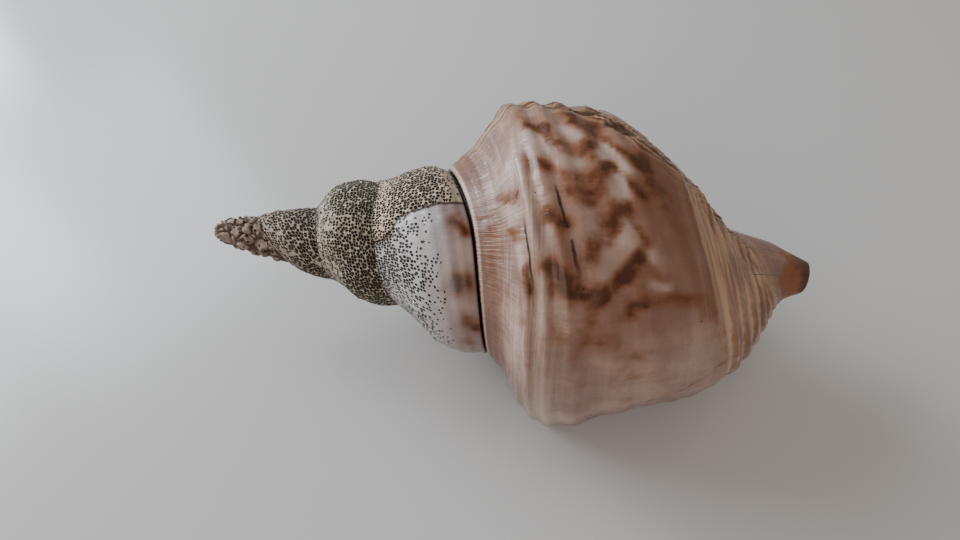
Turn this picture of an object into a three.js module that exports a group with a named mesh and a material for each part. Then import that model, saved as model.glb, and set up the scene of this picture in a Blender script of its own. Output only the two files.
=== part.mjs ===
import * as THREE from 'three';

// An empty triton trumpet shell, worn and pitted, lying on its mouth. Millimetres, +Z up.
// It coils about a lying axis, with the broken apex at -X and the tip of the canal at +X.
// A place on it has two coordinates. The first counts turns back from the outer lip, so 0 is
// the lip and TURNS the apex. The second runs across the whorl, from the seam above it, 0, to
// the seam below it, 1, and on the last turn over the base and neck to the canal's tip, 3.

// How the shell lies
const AXIS_HEIGHT = 46;
const LIP_ANGLE = 235; // degrees about the axis, from +Y towards +Z, where growth ended
const TURNS = 4.6;

// The seam between whorls, as [turns back, mm]. Places below 0 are where the next seam would lie.
const SEAM_X = [
  [-1.0, 54], [-0.9, 50], [-0.48, 29], [-0.2, 6], [0, -6], [0.1, -7.5], [0.31, -13.5],
  [0.52, -28], [0.8, -36.5], [1.1, -44.5], [1.3, -51.5], [1.52, -54.5], [1.8, -64],
  [2.1, -72], [2.52, -80], [3.1, -90], [3.52, -105], [4.1, -111.5], [4.6, -118.5],
];
const SEAM_RADIUS = [
  [-1.0, 61.2], [-0.95, 57.5], [-0.9, 56], [-0.48, 58], [-0.2, 51], [0, 41.5], [0.1, 39.5],
  [0.52, 31.5], [0.8, 27.5], [1.1, 23.5], [1.3, 24.5], [1.52, 25], [1.8, 19],
  [2.1, 15.5], [2.52, 13], [3.1, 10], [3.52, 7.5], [4.1, 5.6], [4.6, 4.6],
];

// Marks across the whorl between its seams. Share is how far from seam to seam the mark lies,
// and rise is how far it stands out from the straight line between them.
const WHORL_MARKS = [
  {
    across: 0.22, // foot of the ramp below the seam
    share: [[0, 0.1], [0.1, 0.12], [0.52, 0.19], [1, 0.2]],
    rise: [[0, 6], [0.1, 4.5], [0.52, 1.5], [1, 3], [1.52, 0.5], [2.1, 1], [2.52, 4.5], [3.1, 1], [4.6, 0.5]],
  },
  {
    across: 0.48, // shoulder
    share: [[0, 0.3], [0.1, 0.3], [0.52, 0.42], [1, 0.5], [2, 0.45]],
    rise: [[0, 20.5], [0.1, 16], [0.52, 14], [0.8, 7.5], [1.1, 6.5], [1.52, 2], [2.1, 3.5], [2.52, 5.5],
      [3.1, 1.5], [4.6, 0.5]],
  },
  {
    across: 0.74, // widest girth
    share: [[0, 0.52], [0.1, 0.52], [0.52, 0.69], [1, 0.76], [2, 0.74]],
    rise: [[0, 18], [0.1, 15.5], [0.52, 8.5], [0.8, 6], [1.1, 4.5], [1.52, 2.5], [2.1, 3], [2.52, 3.5],
      [3.1, 1], [4.6, 0.5]],
  },
];

// Marks across the last turn below its widest girth, with their place along and off the axis
const BASE_MARKS = [
  {
    across: 1.35, // lower side of the whorl
    x: [[0, 74], [0.1, 73], [0.52, 43], [0.8, 30], [1, 14], [2, -24], [2.6, -46], [4.6, -108]],
    radius: [[0, 56.5], [0.1, 48.5], [0.52, 50], [0.8, 48], [1, 41.5], [2, 22], [2.6, 13], [4.6, 3]],
  },
  {
    across: 1.7, // base
    x: [[0, 91], [0.1, 88.5], [0.52, 56], [0.8, 45], [1, 28], [1.5, 8], [2, -12], [2.6, -38], [4.6, -104]],
    radius: [[0, 43], [0.1, 38], [0.52, 38.5], [0.8, 36], [1, 31], [1.5, 23], [2, 16], [2.6, 9], [4.6, 2.5]],
  },
  {
    across: 2.05, // neck
    x: [[0, 98], [0.1, 97], [0.52, 72], [0.8, 60], [1, 44], [1.5, 24], [2, 6], [2.6, -26], [4.6, -98]],
    radius: [[0, 27], [0.1, 25], [0.52, 19.5], [0.8, 19], [1, 15], [1.5, 12], [2, 9], [2.6, 6], [4.6, 2]],
  },
  {
    across: 2.4, // waist
    x: [[0, 102], [0.1, 102], [0.52, 82], [0.8, 76], [1, 66], [1.5, 50], [2, 34], [2.6, 0]],
    radius: [[0, 16], [0.1, 14.5], [0.52, 16], [0.8, 13.5], [1, 8.5], [1.5, 7], [2, 6], [2.6, 4]],
  },
  {
    across: 2.7, // canal
    x: [[0, 108], [0.1, 107.5], [0.52, 98], [0.8, 95], [1, 92], [2, 80]],
    radius: [[0, 10], [0.1, 9], [0.52, 12], [0.8, 10.5], [0.9, 8], [1, 4], [2, 3.5]],
  },
  {
    across: 3, // tip
    x: [[0, 113], [0.52, 114.5], [1, 114], [2, 111]],
    radius: [[0, 7], [0.52, 5], [0.85, 5.5], [1, 3], [2, 2]],
  },
];

// The outer lip's edge: how far, in turns, it stands back from or beyond the lip's angle
const LIP_SETBACK = [
  [0, 0], [0.22, 0.016], [0.48, 0.032], [0.74, 0.027], [1, 0.017], [1.35, 0], [1.7, -0.02],
  [2.2, -0.035], [3, -0.045],
];
const LIP_REACH = 0.2; // turns over which the setback dies away
const SCALLOP = { height: 0.003, reach: 0.067, start: 0.3, full: 0.6 }; // in turns, and across

// The mouth and the space inside the last turn
const MOUTH_DEPTH = 0.9; // turns
const HOLLOW_END = 3.4; // turns
const WALL = [[0, 2.2], [0.05, 4.2], [0.12, 3.4], [1, 3]];
const CALLUS = [[0, 1.2], [0.3, 0.6], [1, 0.5]];
const MOUTH_TOP = [[0, 0.13], [0.08, 0.2], [0.22, 0.38], [0.9, 0.42], [1.6, 0.42]];
const MOUTH_FOOT = [
  [0, 2.93], [0.12, 2.85], [0.35, 2.25], [0.45, 1.75], [0.6, 1.6], [0.9, 1.42], [3.4, 1.3],
];
const FACING_ACROSS = [
  [0, 1], [0.48, 1.35], [0.74, 1.63], [1, 2.1], [1.35, 2.4], [1.7, 2.6], [2.05, 2.72], [2.4, 2.81],
  [2.7, 2.91], [3, 3],
]; // the place on the columella that faces each place on the outer wall
const WALL_SHARE = 0.4; // the most of the gap that the outer wall may take
const CALLUS_SHARE = 0.3; // the most of the gap that the columella's glaze may take
const TEETH = {
  height: 0.8, spacing: 0.25, middle: 1.1, spread: 0.8, start: 0.03, fade: 0.06, end: 0.16,
};
const FOLDS = { height: 0.8, spacing: 0.11, middle: 1.2, spread: 0.5, fade: 0.3, end: 0.6 };

// Relief, heights in mm
const UPPER_SEAM_MARGIN = 0.15; // across
const LOWER_SEAM_MARGIN = { across: 0.85, turn: 0.85 };
const CORD_SPACING = 0.125;
const CORDS = { height: 0.4, fadeTurn: 1.2, endTurn: 2.4, fadeAcross: 2.1, endAcross: 2.6 };
const VARIX = { height: 1.6, width: 0.035, shoulder: 0.9, shoulderAt: 0.3, shoulderWidth: 0.2 };
const VARIX_LINE = [[0, 0.53], [0.3, 0.52], [0.6, 0.5], [0.88, 0.475], [1.1, 0.437], [1.7, 0.41], [3, 0.38]];
const BREAK_LEDGE = { turn: 1.31, width: 0.06, height: 0.9 };
const KNOB = { height: 1.0, perTurn: 11, perWhorl: 1.5, start: 2.5, full: 3.2 };
const RELIEF_REACH = 0.01; // across, over which the direction of the section is taken
const APEX_END = -122;

// Mesh counts
const PER_TURN = 36;
const WHORL_ROWS = 16;
const BASE_ROWS = 16;
const NECK_ROWS = 8;
const MOUTH_STEPS = 20;
const MOUTH_WALL_ROWS = [20, 13];
const HOLLOW_STEPS = 48;
const HOLLOW_WALL_ROWS = [10, 6];

const clamp = THREE.MathUtils.clamp;
const lerp = THREE.MathUtils.lerp;
const smoothstep = THREE.MathUtils.smoothstep;

// Slope of the curve at key i, level wherever the keys turn back
function slopeAt(keys, i) {
  const last = keys.length - 1;
  const stepTo = (j) => keys[j + 1][0] - keys[j][0];
  const gradeOf = (j) => (keys[j + 1][1] - keys[j][1]) / stepTo(j);
  if (i === 0) return gradeOf(0);
  if (i === last) return gradeOf(last - 1);
  const before = gradeOf(i - 1);
  const after = gradeOf(i);
  if (before * after <= 0) return 0;
  const weightBefore = 2 * stepTo(i) + stepTo(i - 1);
  const weightAfter = stepTo(i) + 2 * stepTo(i - 1);
  return (weightBefore + weightAfter) / (weightBefore / before + weightAfter / after);
}

// A smooth curve through [place, value] keys, which never overshoots them
function curve(keys, place) {
  const at = clamp(place, keys[0][0], keys[keys.length - 1][0]);
  let i = 0;
  while (i < keys.length - 2 && at > keys[i + 1][0]) i += 1;
  const [start, from] = keys[i];
  const [end, to] = keys[i + 1];
  const step = end - start;
  const s = (at - start) / step;
  const bend = s * (1 - s);
  return lerp(from, to, s * s * (3 - 2 * s))
    + bend * step * ((1 - s) * slopeAt(keys, i) - s * slopeAt(keys, i + 1));
}

// A smooth hump of height 1 at the centre, which dies away over the width
function hump(place, centre, width) {
  return Math.exp(-(((place - centre) / width) ** 2));
}

// Place along the axis and distance from it, of the plain whorl without its relief
function sectionAt(turn, across) {
  const upperX = curve(SEAM_X, turn);
  const lowerX = curve(SEAM_X, turn - 1);
  const upperRadius = curve(SEAM_RADIUS, turn);
  const lowerRadius = curve(SEAM_RADIUS, turn - 1);
  const xKeys = [[0, upperX]];
  const radiusKeys = [[0, upperRadius]];
  for (const mark of WHORL_MARKS) {
    const share = curve(mark.share, turn);
    xKeys.push([mark.across, lerp(upperX, lowerX, share)]);
    radiusKeys.push([mark.across, lerp(upperRadius, lowerRadius, share) + curve(mark.rise, turn)]);
  }
  xKeys.push([1, lowerX]);
  radiusKeys.push([1, lowerRadius]);
  for (const mark of BASE_MARKS) {
    xKeys.push([mark.across, curve(mark.x, turn)]);
    radiusKeys.push([mark.across, curve(mark.radius, turn)]);
  }
  return new THREE.Vector2(curve(xKeys, across), curve(radiusKeys, across));
}

// Height of the relief over the plain whorl: spiral cords, the old lip's ridge, the ledge of
// the growth break and the knobs of the worn spire. It is nil on the seams.
function reliefAt(turn, across) {
  const offUpperSeam = smoothstep(across, 0, UPPER_SEAM_MARGIN);
  const offLowerSeam = 1 - smoothstep(turn, LOWER_SEAM_MARGIN.turn, 1)
    * smoothstep(across, LOWER_SEAM_MARGIN.across, 1);
  const onBase = 1 - smoothstep(across, CORDS.fadeAcross, CORDS.endAcross);
  const cords = CORDS.height * Math.cos((2 * Math.PI * across) / CORD_SPACING) * onBase
    * (1 - smoothstep(turn, CORDS.fadeTurn, CORDS.endTurn));
  const shoulder = 1 + VARIX.shoulder * hump(across, VARIX.shoulderAt, VARIX.shoulderWidth);
  const varix = VARIX.height * hump(turn, curve(VARIX_LINE, across), VARIX.width) * shoulder * onBase;
  const ledge = BREAK_LEDGE.height * hump(turn, BREAK_LEDGE.turn, BREAK_LEDGE.width);
  const knobs = KNOB.height * smoothstep(turn, KNOB.start, KNOB.full)
    * Math.sin(2 * Math.PI * KNOB.perTurn * turn) * Math.sin(2 * Math.PI * KNOB.perWhorl * across);
  return (cords + varix + ledge + knobs) * offUpperSeam * offLowerSeam;
}

// The place's turn, once the lip's own outline is followed
function followLip(turn, across) {
  const fade = 1 - smoothstep(turn, 0, LIP_REACH);
  const scallop = SCALLOP.height * Math.cos((2 * Math.PI * across) / CORD_SPACING)
    * smoothstep(across, SCALLOP.start, SCALLOP.full) * (1 - smoothstep(turn, 0, SCALLOP.reach));
  return turn + curve(LIP_SETBACK, across) * fade + scallop;
}

// Turns a place in the section into a point in space. The underside is worn flat where it
// rests, so nothing reaches below the table.
function spin(place, turn) {
  const angle = THREE.MathUtils.degToRad(LIP_ANGLE - 360 * turn);
  const y = place.y * Math.cos(angle);
  const z = AXIS_HEIGHT + place.y * Math.sin(angle);
  return new THREE.Vector3(place.x, y, Math.max(z, 0));
}

// A point of the outer surface
function outerPoint(turn, across) {
  const place = sectionAt(turn, across);
  const along = sectionAt(turn, across + RELIEF_REACH).sub(sectionAt(turn, across - RELIEF_REACH));
  along.normalize();
  const relief = reliefAt(turn, across);
  place.x -= along.y * relief;
  place.y += along.x * relief;
  return spin(place, turn);
}

// One ring of the space inside, at a depth in turns behind the lip: down the outer wall, then
// back up the columella. Both walls keep clear of each other.
function mouthRing(depth, [outerRows, innerRows]) {
  const top = curve(MOUTH_TOP, depth);
  const foot = curve(MOUTH_FOOT, depth);
  const nearLip = smoothstep(depth, 0, TEETH.start) * (1 - smoothstep(depth, TEETH.fade, TEETH.end));
  const nearMouth = 1 - smoothstep(depth, FOLDS.fade, FOLDS.end);
  const crest = (across, spacing) => Math.max(Math.cos((2 * Math.PI * across) / spacing), 0);
  const outer = [];
  const inner = [];
  const facing = (across) => {
    const turn = followLip(depth, across);
    const wall = sectionAt(turn, across);
    const core = sectionAt(turn + 1, curve(FACING_ACROSS, across));
    return { turn, wall, core, gap: wall.distanceTo(core) };
  };
  for (let row = 0; row <= outerRows; row += 1) {
    const across = lerp(top, foot, row / outerRows);
    const { turn, wall, core, gap } = facing(across);
    const teeth = TEETH.height * nearLip * crest(across, TEETH.spacing)
      * hump(across, TEETH.middle, TEETH.spread);
    const thickness = Math.min(curve(WALL, depth) + teeth, gap * WALL_SHARE);
    outer.push(spin(wall.lerp(core, thickness / gap), turn));
  }
  for (let row = 0; row <= innerRows; row += 1) {
    const across = lerp(foot, top, row / innerRows);
    const { turn, wall, core, gap } = facing(across);
    const folds = FOLDS.height * nearMouth * crest(across, FOLDS.spacing)
      * hump(across, FOLDS.middle, FOLDS.spread);
    const thickness = Math.min(curve(CALLUS, depth) + folds, gap * CALLUS_SHARE);
    inner.push(spin(core.lerp(wall, thickness / gap), turn));
  }
  return [...outer, ...inner];
}

// The shell's one closed surface
function buildShell() {
  const points = [];
  const triangles = [];
  const addPoint = (point) => points.push(point) - 1;
  const addQuad = (a, b, c, d) => triangles.push([a, b, c], [a, c, d]);

  const columns = Math.round(TURNS * PER_TURN);
  const rows = WHORL_ROWS + BASE_ROWS + NECK_ROWS;
  const acrossOf = (row) => {
    if (row <= WHORL_ROWS) return row / WHORL_ROWS;
    if (row <= WHORL_ROWS + BASE_ROWS) return 1 + (row - WHORL_ROWS) / BASE_ROWS;
    return 2 + (row - WHORL_ROWS - BASE_ROWS) / NECK_ROWS;
  };
  const grid = [];
  for (let column = 0; column <= columns; column += 1) {
    const count = column <= PER_TURN ? rows : WHORL_ROWS;
    const line = [];
    for (let row = 0; row <= count; row += 1) {
      const onSeamBelow = row === WHORL_ROWS && column >= PER_TURN;
      const turn = followLip(column / PER_TURN, acrossOf(row));
      line.push(onSeamBelow ? grid[column - PER_TURN][0] : addPoint(outerPoint(turn, acrossOf(row))));
    }
    grid.push(line);
  }
  for (let column = 0; column < columns; column += 1) {
    const count = column < PER_TURN ? rows : WHORL_ROWS;
    for (let row = 0; row < count; row += 1) {
      addQuad(grid[column][row], grid[column][row + 1], grid[column + 1][row + 1], grid[column + 1][row]);
    }
  }

  // A fan closes a loop around a middle point
  const meanOf = (loop) => {
    const mean = new THREE.Vector3();
    for (const index of loop) mean.addScaledVector(points[index], 1 / loop.length);
    return mean;
  };
  const closeLoop = (loop, middle) => {
    const centre = addPoint(middle);
    loop.forEach((index, k) => triangles.push([index, loop[(k + 1) % loop.length], centre]));
  };
  // A strip joins two loops, which may differ in their number of points
  const joinLoops = (first, second) => {
    let i = 0;
    let j = 0;
    while (i < first.length || j < second.length) {
      const a = first[i % first.length];
      const b = second[j % second.length];
      if (j >= second.length || (i < first.length && i / first.length <= j / second.length)) {
        i += 1;
        triangles.push([first[i % first.length], a, b]);
      } else {
        j += 1;
        triangles.push([a, b, second[j % second.length]]);
      }
    }
  };

  const apexLoop = [];
  for (let column = columns - PER_TURN; column < columns; column += 1) apexLoop.push(grid[column][0]);
  apexLoop.push(...grid[columns].slice(0, WHORL_ROWS));
  closeLoop(apexLoop, new THREE.Vector3(APEX_END, 0, AXIS_HEIGHT));

  const tipLoop = [];
  for (let column = PER_TURN; column >= 0; column -= 1) tipLoop.push(grid[column][rows]);
  closeLoop(tipLoop, meanOf(tipLoop));

  const columella = grid[PER_TURN].slice(WHORL_ROWS + 1).reverse();
  let loop = [...grid[0], ...columella];
  for (let step = 0; step <= MOUTH_STEPS; step += 1) {
    const ring = mouthRing((MOUTH_DEPTH * step) / MOUTH_STEPS, MOUTH_WALL_ROWS).map(addPoint);
    joinLoops(loop, ring);
    loop = ring;
  }
  for (let step = 1; step <= HOLLOW_STEPS; step += 1) {
    const depth = lerp(MOUTH_DEPTH, HOLLOW_END, step / HOLLOW_STEPS);
    const ring = mouthRing(depth, HOLLOW_WALL_ROWS).map(addPoint);
    joinLoops(loop, ring);
    loop = ring;
  }
  closeLoop(loop.slice().reverse(), meanOf(loop));

  const geometry = new THREE.BufferGeometry();
  geometry.setAttribute('position', new THREE.Float32BufferAttribute(points.flatMap((p) => p.toArray()), 3));
  geometry.setIndex(triangles.flat());
  geometry.computeBoundingBox();
  const middle = geometry.boundingBox.getCenter(new THREE.Vector3());
  geometry.translate(-middle.x, -middle.y, 0);
  geometry.computeVertexNormals();
  return geometry;
}

const shellMaterial = new THREE.MeshStandardMaterial({ color: '#b3a397', roughness: 0.4, metalness: 0 });
const shell = new THREE.Mesh(buildShell(), shellMaterial);
shell.name = 'shell';

const group = new THREE.Group();
group.add(shell);
export default group;
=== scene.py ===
# %% [markdown]
# # A triton trumpet shell, dressed
# The frame holds the shell as a plain faceted solid at its real size. This lesson grows the
# same shell again as one fine surface, with its cords, seams, ledges and pits, and then paints
# it with patterns that follow the shell's own growth. Lengths are metres wherever Blender sees
# them. The growth formulas work in millimetres, as the frame's driving sizes do.

# %% Load the frame
import math

import bpy
import numpy as np
from mathutils import Matrix, Vector


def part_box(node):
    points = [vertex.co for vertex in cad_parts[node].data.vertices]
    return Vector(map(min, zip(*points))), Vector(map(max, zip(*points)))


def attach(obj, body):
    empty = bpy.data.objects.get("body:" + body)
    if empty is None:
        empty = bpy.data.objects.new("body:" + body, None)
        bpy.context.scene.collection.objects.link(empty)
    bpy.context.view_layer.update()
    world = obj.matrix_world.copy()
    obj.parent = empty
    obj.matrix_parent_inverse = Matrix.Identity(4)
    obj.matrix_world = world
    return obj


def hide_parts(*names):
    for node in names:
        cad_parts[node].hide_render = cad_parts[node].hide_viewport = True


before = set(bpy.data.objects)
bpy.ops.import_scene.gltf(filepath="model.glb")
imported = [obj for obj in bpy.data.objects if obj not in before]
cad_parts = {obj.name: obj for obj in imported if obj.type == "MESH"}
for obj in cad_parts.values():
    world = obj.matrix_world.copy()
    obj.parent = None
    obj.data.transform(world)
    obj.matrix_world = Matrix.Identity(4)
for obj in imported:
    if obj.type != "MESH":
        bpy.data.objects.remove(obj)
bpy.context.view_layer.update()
shell_low, shell_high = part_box("shell")
MM = 0.001
SHELL_LENGTH = shell_high[0] - shell_low[0]
print("shell length in the frame:", round(SHELL_LENGTH / MM, 1), "mm")

# %% [markdown]
# ## Growth as two numbers
# A snail adds shell along its outer lip, so every place on the shell has an age. Here the age
# is counted in turns back from the lip. The second number runs across the whorl: 0 on the seam
# above it, 1 on the seam below, and on the last turn on to 3 at the tip of the canal. A mesh
# could be sculpted or traced instead, but with these two numbers the spire, the mouth and all
# the painting share one simple map.

# %% How the shell lies, and the seam between its whorls
AXIS_HEIGHT = 46  # mm from the table up to the coiling axis
LIP_ANGLE = 235  # degrees round the axis, where the lip stands
TURNS = 4.6
APEX_END = -122  # mm along the axis

SEAM_X = [
    (-1.0, 54), (-0.9, 50), (-0.48, 29), (-0.2, 6), (0, -6), (0.1, -7.5), (0.31, -13.5),
    (0.52, -28), (0.8, -36.5), (1.1, -44.5), (1.3, -51.5), (1.52, -54.5), (1.8, -64),
    (2.1, -72), (2.52, -80), (3.1, -90), (3.52, -105), (4.1, -111.5), (4.6, -118.5),
]
SEAM_RADIUS = [
    (-1.0, 61.2), (-0.95, 57.5), (-0.9, 56), (-0.48, 58), (-0.2, 51), (0, 41.5), (0.1, 39.5),
    (0.52, 31.5), (0.8, 27.5), (1.1, 23.5), (1.3, 24.5), (1.52, 25), (1.8, 19),
    (2.1, 15.5), (2.52, 13), (3.1, 10), (3.52, 7.5), (4.1, 5.6), (4.6, 4.6),
]
print("seam marks:", len(SEAM_X), "along the axis,", len(SEAM_RADIUS), "away from it")

# %% Marks across the whorl
# Between its seams a whorl passes three marks. Each has its share of the way from seam to seam
# and its rise over the straight line between them, both changing with age.
WHORL_MARKS = [
    (0.22,
     [(0, 0.1), (0.1, 0.12), (0.52, 0.19), (1, 0.2)],
     [(0, 6), (0.1, 4.5), (0.52, 1.5), (1, 3), (1.52, 0.5), (2.1, 1), (2.52, 4.5), (3.1, 1), (4.6, 0.5)]),
    (0.48,
     [(0, 0.3), (0.1, 0.3), (0.52, 0.42), (1, 0.5), (2, 0.45)],
     [(0, 20.5), (0.1, 16), (0.52, 14), (0.8, 7.5), (1.1, 6.5), (1.52, 2), (2.1, 3.5), (2.52, 5.5),
      (3.1, 1.5), (4.6, 0.5)]),
    (0.74,
     [(0, 0.52), (0.1, 0.52), (0.52, 0.69), (1, 0.76), (2, 0.74)],
     [(0, 18), (0.1, 15.5), (0.52, 8.5), (0.8, 6), (1.1, 4.5), (1.52, 2.5), (2.1, 3), (2.52, 3.5),
      (3.1, 1), (4.6, 0.5)]),
]
# Below its widest girth the last turn passes six more, given by their place along the axis and
# their distance from it: lower side, base, neck, waist, canal and tip.
BASE_MARKS = [
    (1.35,
     [(0, 74), (0.1, 73), (0.52, 43), (0.8, 30), (1, 14), (2, -24), (2.6, -46), (4.6, -108)],
     [(0, 56.5), (0.1, 48.5), (0.52, 50), (0.8, 48), (1, 41.5), (2, 22), (2.6, 13), (4.6, 3)]),
    (1.7,
     [(0, 91), (0.1, 88.5), (0.52, 56), (0.8, 45), (1, 28), (1.5, 8), (2, -12), (2.6, -38), (4.6, -104)],
     [(0, 43), (0.1, 38), (0.52, 38.5), (0.8, 36), (1, 31), (1.5, 23), (2, 16), (2.6, 9), (4.6, 2.5)]),
    (2.05,
     [(0, 98), (0.1, 97), (0.52, 72), (0.8, 60), (1, 44), (1.5, 24), (2, 6), (2.6, -26), (4.6, -98)],
     [(0, 27), (0.1, 25), (0.52, 19.5), (0.8, 19), (1, 15), (1.5, 12), (2, 9), (2.6, 6), (4.6, 2)]),
    (2.4,
     [(0, 102), (0.1, 102), (0.52, 82), (0.8, 76), (1, 66), (1.5, 50), (2, 34), (2.6, 0)],
     [(0, 16), (0.1, 14.5), (0.52, 16), (0.8, 13.5), (1, 8.5), (1.5, 7), (2, 6), (2.6, 4)]),
    (2.7,
     [(0, 108), (0.1, 107.5), (0.52, 98), (0.8, 95), (1, 92), (2, 80)],
     [(0, 10), (0.1, 9), (0.52, 12), (0.8, 10.5), (0.9, 8), (1, 4), (2, 3.5)]),
    (3,
     [(0, 113), (0.52, 114.5), (1, 114), (2, 111)],
     [(0, 7), (0.52, 5), (0.85, 5.5), (1, 3), (2, 2)]),
]
print("marks across the last turn:", len(WHORL_MARKS) + len(BASE_MARKS))

# %% [markdown]
# ## Smooth curves through the marks
# A natural outline has no corners where one mark follows another. A plain cubic through the
# marks would swing past them and make false bulges, so the slope at each mark is the harmonic
# mean of the two straight slopes beside it, and level where the outline turns back. That
# curve never overshoots. The same rule works down the turns and across the whorl.

# %% The curve
def slopes_at(places, values):
    """Slopes at the marks: the weighted harmonic mean of the straight slopes on both sides, 0
    where they disagree in sign, and the straight slope itself at the two ends."""
    step = np.diff(places).reshape(-1, *[1] * (values.ndim - 1))
    grade = np.diff(values, axis=0) / step
    slope = np.empty_like(values)
    slope[0] = grade[0]
    slope[-1] = grade[-1]
    weight_before = 2 * step[1:] + step[:-1]
    weight_after = step[1:] + 2 * step[:-1]
    before = grade[:-1]
    after = grade[1:]
    same = before * after > 0
    before = np.where(same, before, 1)
    after = np.where(same, after, 1)
    mean = (weight_before + weight_after) / (weight_before / before + weight_after / after)
    slope[1:-1] = np.where(same, mean, 0)
    return slope


def blend_cubic(s, step, start, end, start_slope, end_slope):
    """The cubic from start to end with the given end slopes, s being the share of the step."""
    level = s * s * (3 - 2 * s)
    bend = s * (1 - s) * step
    return start + (end - start) * level + bend * ((1 - s) * start_slope - s * end_slope)


def curve(keys, place):
    """The smooth curve through (place, value) keys, read at an array of places."""
    places = np.array([key[0] for key in keys], float)
    values = np.array([key[1] for key in keys], float)
    slope = slopes_at(places, values)
    at = np.clip(place, places[0], places[-1])
    i = np.clip(np.searchsorted(places, at, side="right") - 1, 0, len(places) - 2)
    step = places[i + 1] - places[i]
    return blend_cubic((at - places[i]) / step, step, values[i], values[i + 1], slope[i], slope[i + 1])


def smoothstep(place, low, high):
    """0 below low, 1 above high, and 3 s squared minus 2 s cubed between them."""
    s = np.clip((place - low) / (high - low), 0, 1)
    return s * s * (3 - 2 * s)


def band(place, start, full, fading, end):
    """0 before start, 1 from full to fading and 0 past end: a step up times a step down."""
    return smoothstep(place, start, full) * (1 - smoothstep(place, fading, end))


def hump(place, centre, width):
    """A bell of height 1 at the centre: e to the minus square of the distance in widths."""
    return np.exp(-(((place - centre) / width) ** 2))


print("seam radius at the lip:", float(curve(SEAM_RADIUS, np.array([0.0]))[0]), "mm")

# %% [markdown]
# ## The section of a whorl
# At each age the marks give a half section, from the seam down to the canal. The section is
# then turned about the axis by the age. The outer lip isn't cut along a straight line: its
# shoulder stands back and its foot reaches on, so that the mouth lies flat on the table.

# %% Section, lip and spin
ACROSS_MARKS = np.array([0] + [m[0] for m in WHORL_MARKS] + [1] + [m[0] for m in BASE_MARKS], float)
LIP_SETBACK = [
    (0, 0), (0.22, 0.016), (0.48, 0.032), (0.74, 0.027), (1, 0.017), (1.35, 0), (1.7, -0.02),
    (2.2, -0.035), (3, -0.045),
]
LIP_REACH = 0.2
LIP_SCALLOP = 0.0018
SCALLOP_SPACING = 0.125
SCALLOPS_START = (0.3, 0.6)
CANAL_TIP = 3


def section_at(turn, across):
    """Place along the axis and distance from it. Between seams a mark is the straight line from
    seam to seam plus its rise, and the curve across the whorl runs through all the marks."""
    upper_x = curve(SEAM_X, turn)
    lower_x = curve(SEAM_X, turn - 1)
    upper_radius = curve(SEAM_RADIUS, turn)
    lower_radius = curve(SEAM_RADIUS, turn - 1)
    x_marks = [upper_x]
    radius_marks = [upper_radius]
    for _, share_keys, rise_keys in WHORL_MARKS:
        share = curve(share_keys, turn)
        x_marks.append(upper_x + (lower_x - upper_x) * share)
        radius_marks.append(upper_radius + (lower_radius - upper_radius) * share + curve(rise_keys, turn))
    x_marks.append(lower_x)
    radius_marks.append(lower_radius)
    for _, x_keys, radius_keys in BASE_MARKS:
        x_marks.append(curve(x_keys, turn))
        radius_marks.append(curve(radius_keys, turn))
    marks = np.stack([np.stack(x_marks), np.stack(radius_marks)], -1)
    slope = slopes_at(ACROSS_MARKS, marks)
    at = np.clip(across, 0, CANAL_TIP)
    i = np.clip(np.searchsorted(ACROSS_MARKS, at, side="right") - 1, 0, len(ACROSS_MARKS) - 2)
    step = (ACROSS_MARKS[i + 1] - ACROSS_MARKS[i])[:, None]
    s = (at - ACROSS_MARKS[i])[:, None] / step
    each = np.arange(len(at))
    return blend_cubic(s, step, marks[i, each], marks[i + 1, each], slope[i, each], slope[i + 1, each])


def follow_lip(turn, across):
    """The age of a grid place once the lip's outline is followed: the setback dies away over a
    fifth of a turn, and small scallops mark where the cords end."""
    fade = 1 - smoothstep(turn, 0, LIP_REACH)
    near = smoothstep(across, *SCALLOPS_START) * (1 - smoothstep(turn, 0, LIP_REACH / 3))
    scallop = LIP_SCALLOP * np.cos(2 * np.pi * across / SCALLOP_SPACING)
    return turn + curve(LIP_SETBACK, across) * fade + scallop * near


def spin(place, turn):
    """Turns section places into points: y and z are the distance from the axis times the cosine
    and sine of the age's angle. Nothing reaches below the table."""
    angle = np.radians(LIP_ANGLE - 360 * turn)
    y = place[:, 1] * np.cos(angle)
    z = AXIS_HEIGHT + place[:, 1] * np.sin(angle)
    return np.stack([place[:, 0], y, np.maximum(z, 0)], -1)


print("the lip's shoulder stands back by", round(360 * max(back for _, back in LIP_SETBACK), 1), "degrees")

# %% [markdown]
# ## Noise for worn surfaces
# Wear isn't regular. A lattice of random numbers, smoothly blended between its corners, gives
# a soft unevenness of any chosen size. Its seed is fixed, so each run makes the same shell.

# %% Lattice noise
LATTICE = 64
noise_table = np.random.default_rng(7).uniform(-1, 1, (LATTICE, LATTICE, LATTICE))


def noise(points, size, shift=0.0):
    """Between -1 and 1: random lattice values, size apart, blended with smooth weights along
    the three axes."""
    place = points / size + shift
    corner = np.floor(place).astype(int)
    s = place - corner
    s = s * s * (3 - 2 * s)
    total = np.zeros(len(points))
    for dx in (0, 1):
        for dy in (0, 1):
            for dz in (0, 1):
                weight = np.abs(1 - dx - s[:, 0]) * np.abs(1 - dy - s[:, 1]) * np.abs(1 - dz - s[:, 2])
                at = (corner + (dx, dy, dz)) % LATTICE
                total += weight * noise_table[at[:, 0], at[:, 1], at[:, 2]]
    return total


def rough(points, size):
    """Noise and half as much of noise at half the size, which looks less even than one alone."""
    return noise(points, size) + 0.5 * noise(points, size / 2, 17.3)


print("noise lattice:", noise_table.shape, "with a mean of", round(float(noise_table.mean()), 4))

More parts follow.
